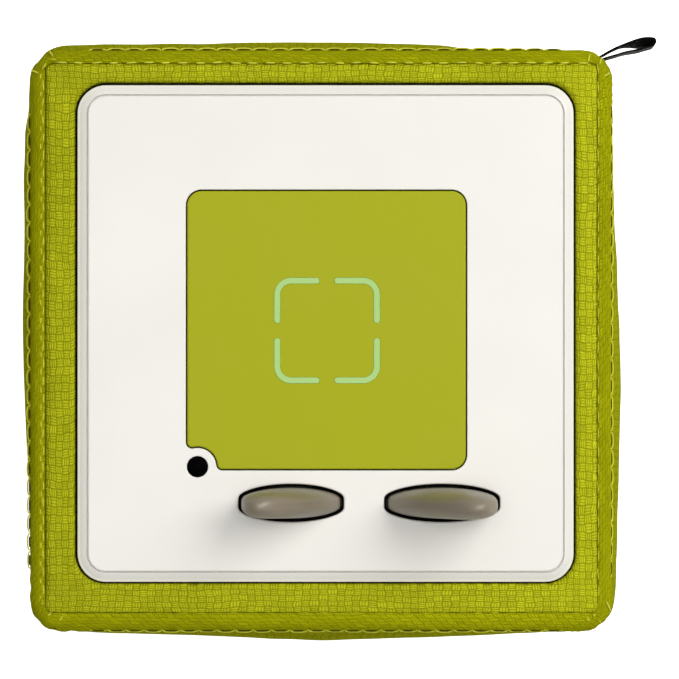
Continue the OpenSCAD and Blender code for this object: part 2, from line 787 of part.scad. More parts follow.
module battery_cells() {
    color("#4f8f4a")
    for (i = cell_y) translate([-cell_l / 2, i * cell_pitch, cell_z]) rotate([0, 90, 0]) {
        cylinder(r = cell_r, h = cell_l - 1.2);
        cylinder(r = 2.4, h = cell_l);
    }
}

module tray_screws() {
    color("#8d9094")
    for (p = tray_spots) translate([p[0], p[1], tray_z + 2.6]) mirror([0, 0, 1]) screw(1.9, 1.4, 0.9, 4.5);
}

// ---- Loudspeaker, facing the left side ----

module on_speaker_axis() {
    translate(speaker_c) rotate([0, 90, 0]) children();
}

module speaker_gasket() {
    color("#26272a") on_speaker_axis() difference() {
        cylinder(r = 26.5, h = 1.2);
        translate([0, 0, -1]) cylinder(r = 23.5, h = 4);
    }
}

module speaker_basket() {
    color("#34363a") on_speaker_axis() difference() {
        union() {
            translate([0, 0, 1.2]) cylinder(r = 28, h = 1.6);
            for (a = [45:90:315]) rotate([0, 0, a]) translate([lug_at, 0, 1.2]) cylinder(r = 3.2, h = 1.6);
            translate([0, 0, 2]) rotate_extrude()
                polygon([[24, 0], [26, 0], [16.5, 15], [0, 15], [0, 13.6], [15.6, 13.6]]);
        }
        translate([0, 0, -1]) cylinder(r = 23.5, h = 3.8);
        translate([0, 0, 10]) cylinder(r = 9.2, h = 9);
        for (a = [45:90:315]) rotate([0, 0, a]) translate([lug_at, 0, 0]) cylinder(r = 1.4, h = 5);
    }
}

module speaker_magnet() {
    color("#585b60") on_speaker_axis() difference() {
        translate([0, 0, 17]) cylinder(r = 18, h = 9);
        translate([0, 0, 16]) difference() {
            cylinder(r = 8.8, h = 8);
            translate([0, 0, -1]) cylinder(r = 7.4, h = 10);
        }
    }
}

// The paper cone with its dust cap and coil former, which move together
module speaker_cone() {
    color("#1f2022") on_speaker_axis() {
        rotate_extrude() polygon([[8, 10], [20.8, 3.6], [21.3, 4.2], [8.3, 11.2]]);
        translate([0, 0, 9.5]) difference() {
            cylinder(r = 8.3, h = 9.5);
            translate([0, 0, 1]) cylinder(r = 7.9, h = 12);
        }
    }
}

module speaker_surround() {
    color("#121314") on_speaker_axis()
        rotate_extrude() polygon([[21.7, 2.9], [22.1, 2.1], [22.7, 2.1], [22.95, 2.6], [22.95, 3.4], [22.5, 2.8], [22.2, 2.8], [21.7, 3.6]]);
}

module speaker_screws() {
    color("#8d9094") on_speaker_axis()
        for (a = [45:90:315]) rotate([0, 0, a]) translate([lug_at, 0, 4.2]) mirror([0, 0, 1]) screw(2.3, 1.4, 1.2, 3.6);
}

// ---- Leads inside the case ----

module speaker_lead() {
    color("#a03030") for (s = [0, 1])
        tube([[-28, -3 + 2 * s, 53.7], [-29, -3 + 2 * s, 48], [-34, -1 + 2 * s, 44.5], [-36, -2 + 2 * s, 43],
              [-36.5, -2 + 2 * s, 41]], 0.7);
}

module battery_lead() {
    color("#303236") for (s = [0, 1])
        tube([[-28 - 0, 12 + 2 * s, 20], [-36, 12 + 2 * s, 20], [-44, 12 + 2 * s, 24], [-45, 12 + 2 * s, 32],
              [-45, 12 + 2 * s, 42], [-42, 12 + 2 * s, 44], [-37.5, 12 + 2 * s, 44], [-36.5, 12 + 2 * s, 41]], 0.7);
}

module charge_lead() {
    color("#303236") for (s = [0, 1])
        tube([[-12, 2 * s, floor_z + 2.1], [-20, 2 + 2 * s, floor_z + 2.4], [-38, 10 + 2 * s, floor_z + 2.4],
              [-45, 22 + 2 * s, 14], [-45, 22 + 2 * s, 42], [-42, 22 + 2 * s, 44], [-37.5, 22 + 2 * s, 44],
              [-36.5, 22 + 2 * s, 41]], 0.7);
}

module ribbon_cable() {
    color("#d9d5c8")
    rotate([90, 0, 90]) translate([0, 0, -6]) linear_extrude(14)
        polygon([[-19.5, 38.7], [-20, 38.7], [-20, 46], [-27, 56], [-27, 92], [-18.2, 98], [-18.2, 101.4],
                 [-17.8, 101.4], [-17.8, 97.8], [-26.6, 91.8], [-26.6, 56.2], [-19.5, 46.2]]);
}

cover_top();
cover_bottom();
cover_front();
cover_back();
cover_left();
cover_right();
foam_jacket();
hanging_loop();
jack_eyelet();
case_shell();
base_plate();
foot_ring();
contact_ring();
contact_button();
charge_board();
case_screws();
top_plate();
plate_screws();
target_pad();
target_marks();
status_light();
antenna_board();
antenna_coil();
magnet_holder();
figure_magnet();
ear_left();
ear_right();
ear_carrier_left();
ear_carrier_right();
ear_bracket_left();
ear_bracket_right();
bracket_screws();
control_board();
control_board_screws();
switch_left();
switch_right();
plunger_left();
plunger_right();
status_led();
main_board();
main_board_screws();
processor();
radio_module();
card_socket();
memory_card();
board_connectors();
headphone_socket();
battery_tray();
battery_cells();
tray_screws();
speaker_basket();
speaker_magnet();
speaker_cone();
speaker_surround();
speaker_gasket();
speaker_screws();
speaker_lead();
battery_lead();
charge_lead();
ribbon_cable();
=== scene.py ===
import bpy
import bmesh
import json
import random
from math import atan2, copysign, cos, degrees, exp, hypot, pi, radians, sin, sqrt
from mathutils import Matrix, Vector, noise


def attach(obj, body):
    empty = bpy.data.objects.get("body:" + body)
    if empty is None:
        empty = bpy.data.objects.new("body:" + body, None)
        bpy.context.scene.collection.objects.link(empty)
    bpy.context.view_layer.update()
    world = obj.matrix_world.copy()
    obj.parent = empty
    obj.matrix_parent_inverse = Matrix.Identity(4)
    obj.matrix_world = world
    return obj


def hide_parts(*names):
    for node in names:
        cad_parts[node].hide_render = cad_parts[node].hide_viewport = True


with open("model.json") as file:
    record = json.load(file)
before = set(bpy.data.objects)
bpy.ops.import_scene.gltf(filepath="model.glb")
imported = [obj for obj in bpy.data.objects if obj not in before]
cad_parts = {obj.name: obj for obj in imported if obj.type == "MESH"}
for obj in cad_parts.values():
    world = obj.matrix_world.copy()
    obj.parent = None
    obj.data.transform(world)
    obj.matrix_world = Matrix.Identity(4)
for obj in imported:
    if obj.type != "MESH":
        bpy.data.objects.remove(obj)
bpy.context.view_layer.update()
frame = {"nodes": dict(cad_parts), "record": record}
chance = random.Random(12)

# The camera hangs straight over the player, as the photograph's did
cameraSet = {"x": 0.00246, "y": -0.00104, "z": 1.020, "lens": 252.4}


def hangCamera():
    data = bpy.data.cameras.new("overheadCamera")
    data.lens = cameraSet["lens"]
    data.sensor_width = 36
    camera = bpy.data.objects.new("overheadCamera", data)
    camera.location = (cameraSet["x"], cameraSet["y"], cameraSet["z"])
    bpy.context.scene.collection.objects.link(camera)
    bpy.context.scene.camera = camera


hangCamera()
bpy.context.scene.view_settings.view_transform = "Standard"
print("camera hung")

# Shared tools. Every mesh is made in millimetres and brought to metres when it is finished


def toMesh(bm, name):
    mesh = bpy.data.meshes.new(name)
    bm.to_mesh(mesh)
    bm.free()
    return mesh


def inScene(name, data):
    thing = bpy.data.objects.new(name, data)
    bpy.context.scene.collection.objects.link(thing)
    return thing


def finishMesh(bm, name, material, smooth, body="housing", closed=False):
    if closed:
        bmesh.ops.recalc_face_normals(bm, faces=bm.faces)
    bmesh.ops.scale(bm, vec=(0.001, 0.001, 0.001), verts=bm.verts)
    mesh = toMesh(bm, name)
    piece = inScene(name, mesh)
    mesh.shade_smooth()
    if smooth:
        mesh.set_sharp_from_angle(angle=radians(smooth))
    mesh.materials.append(material)
    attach(piece, body)
    return piece


def startRing(bm, points):
    verts = [bm.verts.new(p) for p in points]
    for a, b in zip(verts, verts[1:] + verts[:1]):
        bm.edges.new((a, b))
    return verts


def ringEdges(bm, *rings):
    return [bm.edges.get((a, b)) for ring in rings for a, b in zip(ring, ring[1:] + ring[:1])]


def extruded(bm, edges):
    # extrudes the edges and returns the new vertices
    made = bmesh.ops.extrude_edge_only(bm, edges=edges)["geom"]
    return [v for v in made if isinstance(v, bmesh.types.BMVert)]


def pushRing(bm, ring, points):
    # extrudes a closed ring of edges and sets the new ring on the points
    fresh = set(extruded(bm, ringEdges(bm, ring)))
    mates = [next(e.other_vert(v) for e in v.link_edges if e.other_vert(v) in fresh) for v in ring]
    for v, p in zip(mates, points):
        v.co = p
    return mates


def stackRings(bm, outlines):
    # joins a row of outlines into one wall and returns its first and last rings
    ring = first = startRing(bm, outlines[0])
    for points in outlines[1:]:
        ring = pushRing(bm, ring, points)
    return first, ring


def fillFlat(bm, *rings):
    bmesh.ops.triangle_fill(bm, use_beauty=True, use_dissolve=False, edges=ringEdges(bm, *rings))


def closedStack(bm, outlines):
    for end in stackRings(bm, outlines)[::-1]:
        fillFlat(bm, end)


def faceTowards(bm, sign):
    # turns the faces of an open sheet up for 1, or down for -1
    bmesh.ops.recalc_face_normals(bm, faces=bm.faces)
    if sign * sum(f.normal.z for f in bm.faces) < 0:
        bmesh.ops.reverse_faces(bm, faces=bm.faces)


def atHeight(points, z):
    return [Vector((p.x, p.y, z)) for p in points]


def arcPoints(r, cx, cy, z, angles):
    return [Vector((cx + r * cos(a), cy + r * sin(a), z)) for a in map(radians, angles)]


def circlePoints(r, cx, cy, z, n=48):
    turns = [2 * pi * i / n for i in range(n)]
    return [Vector((cx + r * cos(a), cy + r * sin(a), z)) for a in turns]


def roundedRect(halfX, halfY, r, cx, cy, z, flats, turns):
    # anticlockwise from the right-hand end of the lower edge
    def onCorner(sx, sy, angle):
        return arcPoints(r, cx + sx * (halfX - r), cy + sy * (halfY - r), z, [angle])[0]

    corners = ((1, -1), (1, 1), (-1, 1), (-1, -1))
    points = []
    for q in range(4):
        start = -90 + 90 * q
        points += [onCorner(*corners[q], start + 90 * i / turns) for i in range(turns + 1)]
        last, following = points[-1], onCorner(*corners[(q + 1) % 4], start + 90)
        points += [last.lerp(following, i / flats) for i in range(1, flats)]
    return points


def barrel(halfL, halfW, cx=0.0, cy=0.0, z=0.0, n=96, power=5.0, pinch=0.42):
    # a long opening with bowed sides and blunt, rounded ends
    points = []
    for i in range(n):
        a = 2 * pi * i / n
        c, s = cos(a), sin(a)
        k = (abs(c) ** power + abs(s) ** power) ** (-1 / power)
        points.append(Vector((cx + halfL * k * c, cy + halfW * k * s * (1 - pinch * (k * c) ** 2), z)))
    return points


def smoothStep(a, b, x):
    t = min(1, max(0, (x - a) / (b - a)))
    return t * t * (3 - 2 * t)


def beatAt(count, far, total):
    # 1 at each of count stitches spaced evenly along a seam and 0 halfway between them
    return 0.5 + 0.5 * cos(2 * pi * count * far / total)


def lumpAt(a, b, size, seed):
    return noise.noise(Vector((a / size, b / size, seed)))


def roundOver(r, d):
    # how far a rounded edge of radius r has fallen at a distance d from its end
    return r - sqrt(max(0, r * r - (r - d) ** 2)) if d < r else 0


def clothGrid(columns, rows, place, lay, wrap=False):
    # a grid of cloth laid on place(i, j), with its weave laid out in millimetres by lay(i, j)
    bm = bmesh.new()
    bmesh.ops.create_grid(bm, x_segments=columns, y_segments=rows, size=1)
    weave = bm.loops.layers.uv.new("weave")
    spot = {v: (round((v.co.x + 1) / 2 * columns), round((v.co.y + 1) / 2 * rows)) for v in bm.verts}
    for face in bm.faces:
        for loop in face.loops:
            loop[weave].uv = lay(*spot[loop.vert])
    for v, (i, j) in spot.items():
        v.co = place(i, j)
    if wrap:
        bmesh.ops.remove_doubles(bm, verts=bm.verts, dist=0.0005)
    return bm


# Materials


def tint(r, g, b):
    def one(c):
        c = c / 255
        return c / 12.92 if c <= 0.04045 else ((c + 0.055) / 1.055) ** 2.4
    return (one(r), one(g), one(b), 1)


def toned(colour, factor):
    return tuple(c * factor for c in colour[:3]) + (1,)


class Nodes:
    # short calls for a material's node tree
    def __init__(self, name, colour, roughness, metallic=0.0, **sockets):
        self.material = bpy.data.materials.new(name)
        self.material.use_nodes = True
        self.material.diffuse_color = colour
        self.tree = self.material.node_tree
        self.shader = self.tree.nodes["Principled BSDF"]
        self.shader.inputs["Base Color"].default_value = colour
        self.shader.inputs["Roughness"].default_value = roughness
        self.shader.inputs["Metallic"].default_value = metallic
        for socket, value in sockets.items():
            self.shader.inputs[socket.replace("_", " ")].default_value = value

    def feed(self, value, socket):
        # links an output to the socket, or sets a plain value on it
        if isinstance(value, bpy.types.NodeSocket):
            self.tree.links.new(value, socket)
        else:
            socket.default_value = value

    def add(self, kind, settings=None, **inputs):
        # inputs go by number, as n0 and n1, or by their sockets' names
        node = self.tree.nodes.new(kind)
        for key, value in (settings or {}).items():
            setattr(node, key, value)
        for key, value in inputs.items():
            numbered = key[0] == "n" and key[1:].isdigit()
            self.feed(value, node.inputs[int(key[1:]) if numbered else key.replace("_", " ")])
        return node

    def math(self, operation, a, b=0.0, c=0.0):
        return self.add("ShaderNodeMath", {"operation": operation}, n0=a, n1=b, n2=c).outputs[0]

    def times(self, a, b):
        return self.math("MULTIPLY", a, b)

    def wave(self, value, rate):
        return self.math("ABSOLUTE", self.math("SINE", self.times(value, rate)))

    def mix(self, share, a, b, kind="MIX"):
        settings = {"data_type": "RGBA", "blend_type": kind}
        return self.add("ShaderNodeMix", settings, n0=share, n6=a, n7=b).outputs[2]

    def split(self, vector):
        return self.add("ShaderNodeSeparateXYZ", None, n0=vector).outputs

    def place(self):
        return self.add("ShaderNodeTexCoord").outputs["Object"]

    def noise(self, vector, scale, detail=2.0, roughness=0.5):
        return self.add("ShaderNodeTexNoise", None, Vector=vector, Scale=scale, Detail=detail, Roughness=roughness)

    def patches(self, vector, scale, detail=2.0, roughness=0.5):
        return self.noise(vector, scale, detail, roughness).outputs["Fac"]

    def spread(self, value, low, high, fromLow=0.0, fromHigh=1.0):
        return self.add("ShaderNodeMapRange", {"clamp": True}, Value=value, From_Min=fromLow, From_Max=fromHigh,
                        To_Min=low, To_Max=high).outputs[0]

    def bump(self, height, distance):
        return self.add("ShaderNodeBump", None, Strength=1.0, Distance=distance, Height=height).outputs[0]

    def wire(self, value, socket):
        self.tree.links.new(value, self.shader.inputs[socket])


def mouldedFinish(name, colour, roughness, grain=0.00002, grainScale=2500, mottle=0.04, metallic=0.0, wear=0.0,
                  **sockets):
    # a moulded, pressed or plated finish: fine grain, faint mottling and a little wear
    kit = Nodes(name, colour, roughness, metallic, **sockets)
    place = kit.place()
    broad = kit.patches(place, 40, 3)
    fine = kit.patches(place, grainScale)
    shade = kit.mix(kit.spread(broad, 0, 1, 0.3, 0.7), toned(colour, 1 - 2 * mottle), colour)
    if wear:
        edge = kit.add("ShaderNodeNewGeometry").outputs["Pointiness"]
        rubbed = kit.spread(kit.patches(place, 300, 4), 0, 1, 0.4, 0.65)
        scuff = kit.times(kit.spread(edge, 0, wear, 0.52, 0.62), rubbed)
        shade = kit.mix(scuff, shade, tuple(min(1, c * 1.6 + 0.03) for c in colour[:3]) + (1,))
    kit.wire(shade, "Base Color")
    kit.wire(kit.spread(broad, roughness - 0.06, roughness + 0.06, 0.3, 0.7), "Roughness")
    kit.wire(kit.bump(fine, grain), "Normal")
    return kit.material


# The cover's weave, in millimetres: the cells, the slow and the quick wandering of their lines, and the threads
# in a cell. Its relief is in metres, as bump nodes take it
weaveSet = {"cell": 1.55, "wander": 2.2, "tremble": 0.36, "threads": 3, "relief": 0.00026}


def wovenCloth(name, low, high, paintedDipShade, sheen=0.03):
    # a basket weave on the cloth's own layout: three threads over three, turned from cell to cell
    kit = Nodes(name, high, 0.85, Sheen_Weight=sheen, Sheen_Roughness=0.5, Specular_IOR_Level=0.0)
    kit.shader.inputs["Sheen Tint"].default_value = (0.62, 0.66, 0.08, 1)
    lay = kit.add("ShaderNodeUVMap", {"uv_map": "weave"}).outputs[0]
    warp = lay
    for scale, reach in ((0.11, weaveSet["wander"]), (0.7, weaveSet["tremble"])):
        drift = kit.noise(lay, scale).outputs["Color"]
        settings = {"operation": "MULTIPLY_ADD"}
        warp = kit.add("ShaderNodeVectorMath", settings, n0=drift, n1=(reach, reach, 0), n2=warp).outputs[0]
    axes = kit.split(warp)
    x, y = kit.math("DIVIDE", axes[0], weaveSet["cell"]), kit.math("DIVIDE", axes[1], weaveSet["cell"])
    column, row = kit.math("FLOOR", x), kit.math("FLOOR", y)
    over = kit.math("FLOORED_MODULO", kit.math("ADD", column, row), 2)
    fx, fy = kit.math("FRACT", x), kit.math("FRACT", y)

    def dome(f):
        k = kit.math("POWER", kit.math("ABSOLUTE", kit.math("MULTIPLY_ADD", f, 2, -1)), 3.5)
        return kit.math("SUBTRACT", 1, kit.times(k, 0.55))

    def ridges(f):
        return kit.math("POWER", kit.wave(f, pi * weaveSet["threads"]), 0.6)

    alongY = kit.times(dome(fy), kit.math("MULTIPLY_ADD", ridges(fx), 0.55, 0.45))
    alongX = kit.times(dome(fx), kit.math("MULTIPLY_ADD", ridges(fy), 0.55, 0.45))
    height = kit.add("ShaderNodeMix", {"data_type": "FLOAT"}, n0=over, n2=alongX, n3=alongY).outputs[0]
    cell = kit.add("ShaderNodeCombineXYZ", None, n0=column, n1=row).outputs[0]
    luck = kit.split(kit.add("ShaderNodeTexWhiteNoise", {"noise_dimensions": "2D"}, Vector=cell).outputs["Color"])
    height = kit.times(height, kit.spread(luck[0], 0.86, 1.06))
    height = kit.math("MULTIPLY_ADD", kit.patches(lay, 6, 3, 0.7), 0.2, height)
    # the colour follows the weave's height: painted shade in the dips at the cells' ends and between the threads,
    # painted highlight on the crowns
    shade = kit.mix(kit.spread(height, 0, 1, 0.12, 0.68), paintedDipShade, low)
    shade = kit.mix(kit.spread(height, 0, 1, 0.6, 1.15), shade, high)
    # the tone changes from cell to cell and in broad patches; its rise from left to right is painted light, lighter
    # on the right where the light falls
    broad = kit.spread(kit.patches(lay, 0.07, 3), 0.93, 1.06, 0.3, 0.7)
    toneAndPaintedLight = kit.times(kit.spread(luck[1], 0.93, 1.07), broad)
    toneAndPaintedLight = kit.times(toneAndPaintedLight, kit.spread(kit.split(kit.place())[0], 0.95, 1.12, -0.055, 0.055))
    toneAndPaintedLightColour = kit.add("ShaderNodeCombineXYZ", None, n0=toneAndPaintedLight, n1=toneAndPaintedLight, n2=toneAndPaintedLight).outputs[0]
    kit.wire(kit.mix(1.0, shade, toneAndPaintedLightColour, "MULTIPLY"), "Base Color")
    kit.wire(kit.spread(height, 0.92, 0.72, 0.2, 1.0), "Roughness")
    kit.wire(kit.bump(height, weaveSet["relief"]), "Normal")
    return kit.material


def threadFinish(name, colour):
    # sewing thread, with its strands as fine ridges
    kit = Nodes(name, colour, 0.7, Sheen_Weight=0.03, Sheen_Roughness=0.4, Specular_IOR_Level=0.02)
    place = kit.place()
    strand = kit.patches(place, 5200, 1)
    broad = kit.patches(place, 260)
    kit.wire(kit.mix(kit.spread(broad, 0, 1, 0.3, 0.7), toned(colour, 0.78), colour), "Base Color")
    kit.wire(kit.bump(strand, 0.00006), "Normal")
    return kit.material


def ribbonFinish():
    # close ribs across the ribbon, crossed by its threads, with patches of painted glint on its fibres
    black = (0.004, 0.004, 0.0045, 1)
    kit = Nodes("blackRibbon", black, 0.7, Sheen_Weight=0.02, Sheen_Roughness=0.4, Specular_IOR_Level=0.08)
    lay = kit.add("ShaderNodeUVMap", {"uv_map": "weave"}).outputs[0]
    axes = kit.split(lay)
    rib, thread = kit.wave(axes[0], pi / 0.55), kit.wave(axes[1], pi / 0.4)
    height = kit.math("MULTIPLY_ADD", thread, 0.35, rib)
    paintedGlint = kit.spread(kit.patches(lay, 1.6, 3, 0.7), 0, 1, 0.66, 0.8)
    kit.wire(kit.mix(kit.times(paintedGlint, 0.4), black, (0.12, 0.12, 0.115, 1)), "Base Color")
    kit.wire(kit.bump(height, 0.00012), "Normal")
    return kit.material


def earFinish():
    # satin rubber, a warm grey brown, a little paler towards the tips
    colour = tint(136, 125, 107)
    kit = Nodes("earRubber", colour, 0.42, Specular_IOR_Level=0.75, Subsurface_Weight=0.05, Subsurface_Scale=0.002)
    place = kit.place()
    tipPaling = kit.spread(kit.split(place)[2], 0, 0.5, 0.132, 0.148)
    shade = kit.mix(kit.spread(kit.patches(place, 90, 3), 0, 1, 0.3, 0.7), tint(129, 118, 99), colour)
    kit.wire(kit.mix(kit.times(tipPaling, 0.5), shade, tint(150, 140, 124)), "Base Color")
    kit.wire(kit.spread(kit.patches(place, 160, 3), 0.39, 0.45, 0.3, 0.7), "Roughness")
    kit.wire(kit.bump(kit.patches(place, 3600), 0.000018), "Normal")
    return kit.material


# each cloth's colours are low, high and the painted shade of the weave's dips; high is also the painted highlight on
# the crowns
coverCloth = wovenCloth("coverCloth", tint(160, 164, 19), tint(193, 197, 34), tint(76, 79, 5))
# the cover's cloth again, painted darker for the side panels as painted shade where they get less light
sideClothPaintedShade = wovenCloth("sideClothPaintedShade", tint(143, 146, 13), tint(164, 167, 21), tint(86, 88, 6))
bandCloth = wovenCloth("bandCloth", tint(153, 156, 8), tint(181, 184, 16), tint(80, 82, 4))
brightThread = threadFinish("seamThread", tint(218, 221, 66))
dullThread = threadFinish("edgeThread", tint(224, 224, 70))
# dark strands of painted shade for the hollows at the seams; slitShade also colours the two corner knots
slitShade = mouldedFinish("slitShade", tint(72, 71, 4), 0.9, grain=0.00001, Specular_IOR_Level=0.02)
seamShade = mouldedFinish("seamShade", tint(104, 104, 6), 0.9, grain=0.00001, Specular_IOR_Level=0.02)
ribbonCloth = ribbonFinish()
earRubber = earFinish()
platePlastic = mouldedFinish("platePlastic", tint(236, 234, 228), 0.38, grain=0.000012, mottle=0.008,
                             Specular_IOR_Level=0.4)
padPlastic = mouldedFinish("padPlastic", tint(170, 175, 28), 0.5, grain=0.000014, mottle=0.012,
                           Specular_IOR_Level=0.08)
markPaint = mouldedFinish("markPaint", tint(174, 214, 132), 0.6, grain=0.00001, mottle=0.015,
                          Specular_IOR_Level=0.2)
lensBlack = mouldedFinish("lensBlack", (0.0015, 0.0012, 0.0012, 1), 0.3, grain=0.000003, mottle=0.02,
                          Specular_IOR_Level=0.004)
# the black of the strips of painted shade in the gaps
gapShadeBlack = mouldedFinish("gapShadeBlack", (0.003, 0.003, 0.003, 1), 0.85, grain=0.00001, Specular_IOR_Level=0.1)

# The finish of every slot. The pieces that show their CAD solid take theirs from here
slotFinish = {
    "cover_fabric": coverCloth, "ribbon": ribbonCloth, "ear_rubber": earRubber, "plate_plastic": platePlastic,
    "pad_plastic": padPlastic, "mark_ink": markPaint, "dark_lens": lensBlack,
    "black_plastic": mouldedFinish("blackPlastic", (0.014, 0.014, 0.016, 1), 0.5, grain=0.00003, wear=0.25),
    "case_plastic": mouldedFinish("casePlastic", tint(222, 221, 215), 0.5, grain=0.00003, wear=0.15),
    "foot_rubber": mouldedFinish("footRubber", tint(52, 53, 54), 0.8, grain=0.00005, grainScale=1800, mottle=0.1),
    "contact_metal": mouldedFinish("contactGold", (0.83, 0.6, 0.24, 1), 0.28, grain=0.00001, mottle=0.06,
                                   metallic=1.0),
    "circuit_board": mouldedFinish("boardGreen", (0.012, 0.13, 0.06, 1), 0.45, grain=0.00003, mottle=0.12),
    "screw_steel": mouldedFinish("screwSteel", (0.5, 0.51, 0.53, 1), 0.35, metallic=1.0),
    "magnet": mouldedFinish("magnetNickel", (0.42, 0.42, 0.44, 1), 0.3, grain=0.00001, metallic=1.0),
    "copper": mouldedFinish("trackCopper", (0.7, 0.3, 0.13, 1), 0.35, grain=0.00001, metallic=1.0),
    "shield_metal": mouldedFinish("shieldTin", (0.6, 0.61, 0.63, 1), 0.32, metallic=1.0),
    "foam": mouldedFinish("foamGrey", tint(112, 113, 120), 0.95, grain=0.0003, grainScale=1200, mottle=0.1),
    "button_plastic": mouldedFinish("buttonTan", tint(186, 172, 148), 0.5),
    "lamp": mouldedFinish("lampEpoxy", tint(232, 230, 218), 0.3),
    "chip": mouldedFinish("chipBlack", (0.012, 0.012, 0.014, 1), 0.6, grain=0.00003),
    "connector_plastic": mouldedFinish("socketCream", tint(232, 228, 212), 0.5),
    "cell_sleeve": mouldedFinish("cellGreen", tint(80, 143, 74), 0.35),
    "speaker_frame": mouldedFinish("frameBlack", (0.03, 0.032, 0.036, 1), 0.5, grain=0.00004),
    "cone_paper": mouldedFinish("conePaper", (0.013, 0.014, 0.015, 1), 0.8, grain=0.0001, grainScale=900),
    "lead_red": mouldedFinish("leadRed", (0.4, 0.03, 0.03, 1), 0.45),
    "lead_dark": mouldedFinish("leadDark", (0.03, 0.03, 0.035, 1), 0.45),
    "ribbon_cable": mouldedFinish("flatCable", tint(217, 213, 200), 0.45),
}
for part in frame["record"]["subparts"]:
    node = frame["nodes"][part["node"]]
    node.data.materials.clear()
    node.data.materials.append(slotFinish[part["material_slot"]])
print("materials mixed")

# The padded cover, in millimetres. The shift is the cover's place round the plate's centre
coverSet = {
    "halfX": 59.2, "halfY": 59.1, "swell": 3.9, "cornerDraw": 2.4, "cornerRadius": 6.0,
    "shiftX": -1.0, "shiftY": -1.3, "lowZ": 3.0, "highZ": 117.0, "backing": 2.15,
    "columns": 170, "rows": 150,
    "pitch": 3.45,      # between the stitches of the outer seam
    "pucker": 0.3, "puckerRun": 1.6,      # how deep the cloth is drawn in at a stitch, and how far that runs
    "fold": 0.22, "foldRun": 7.0,
    "upright": 0.55, "uprightRun": 0.8,      # the same along the upright corners
    "unevenness": 0.5, "ripple": 0.12,
}


# How far each side's padding is drawn in at places along it, from -1 to 1 along X or Y
leanSet = {
    "right": [(-1, -0.1), (-0.85, -0.6), (-0.77, -0.5), (-0.57, -0.25), (-0.37, -0.1), (-0.17, -0.15), (0.03, 0.1),
              (0.14, 0.35), (0.24, 0.42), (0.44, 0.7), (0.64, 0.85), (0.84, 0.75), (1, 0.6)],
    "left": [(-1, 1.0), (-0.85, 0.9), (-0.68, 0.75), (-0.56, 0.75), (-0.34, 0.25), (0, 0), (0.37, 0.1),
             (0.62, -0.6), (0.73, -0.75), (0.84, -0.1), (1, 0.2)],
    "back": [(-1, -0.6), (-0.9, -0.9), (-0.79, -0.85), (-0.57, -0.42), (-0.4, -0.1), (0, 0), (0.3, 0.1),
             (0.41, 0.2), (0.52, 0.6), (0.63, 0.65), (0.8, 0.4), (1, 0.45)],
    "front": [(-1, 2.4), (-0.9, 1.1), (-0.79, 0.1), (-0.57, 0.25), (-0.35, 0.2), (-0.13, -0.15), (0.02, -0.35),
              (0.3, -0.1), (0.52, 0), (0.74, 0.1), (0.85, 0.3), (0.96, 0.95), (1, 1.1)],
}


def leanAt(side, u):
    table = leanSet[side]
    for (a, x), (b, y) in zip(table, table[1:]):
        if u <= b:
            return x + (y - x) * smoothStep(a, b, u)
    return table[-1][1]


def swellAt(t):
    return max(0, 1 - abs(2 * t - 1) ** 2.2) ** 0.9


def panelPoint(half, across, s, t):
    # s runs from -1 to 1 along the panel between its two upright seams, t from 0 to 1 up it
    c = coverSet
    k = swellAt(t)
    cx = half - c["swell"] + (c["swell"] - c["cornerDraw"]) * k
    cy = across - c["swell"] + (c["swell"] - c["cornerDraw"]) * k
    r, b = c["cornerRadius"], c["cornerDraw"] * k
    share = (cy - r) / (cy - r + r * pi / 4)
    if abs(s) <= share:
        u = s / share
        return Vector((cx + b * (1 - u * u), u * (cy - r), 0)), Vector((1, 0, 0))
    a = radians(45) * (abs(s) - share) / (1 - share)
    side = copysign(1, s)
    out = Vector((cos(a), side * sin(a), 0))
    return Vector((cx - r + r * cos(a), side * ((cy - r) + r * sin(a)), 0)), out


def eased(k, count):
    # rows packed closer towards both ends
    return (1 - cos(pi * k / count)) / 2 * 0.5 + k / count * 0.5


# The headphone socket in the back panel: its middle, the radius of its hole, the flat seat round it and where
# that has run out, and a reach that takes in every edge of the hole
jackSpot = {"x": 30.0, "z": 39.1, "hole": 5.0, "seat": 56.25, "seatEdge": 6.6, "seatEnd": 12.0, "reach": 8.0}


def fromJack(p):
    return hypot(p.x - jackSpot["x"], p.z - jackSpot["z"])


def cutJackHole(bm, depth):
    # cuts the opening, rounds it and runs its edge back to the padding
    near = [f for f in bm.faces if fromJack(f.calc_center_median()) < jackSpot["hole"]]
    bmesh.ops.delete(bm, geom=near, context="FACES")
    lip = [e for e in bm.edges if e.is_boundary and fromJack(e.verts[0].co) < jackSpot["reach"]]
    for v in {v for e in lip for v in e.verts}:
        away = Vector((v.co.x - jackSpot["x"], 0, v.co.z - jackSpot["z"]))
        v.co = Vector((jackSpot["x"], v.co.y, jackSpot["z"])) + away.normalized() * jackSpot["hole"]
    for v in extruded(bm, lip):
        v.co.y = depth


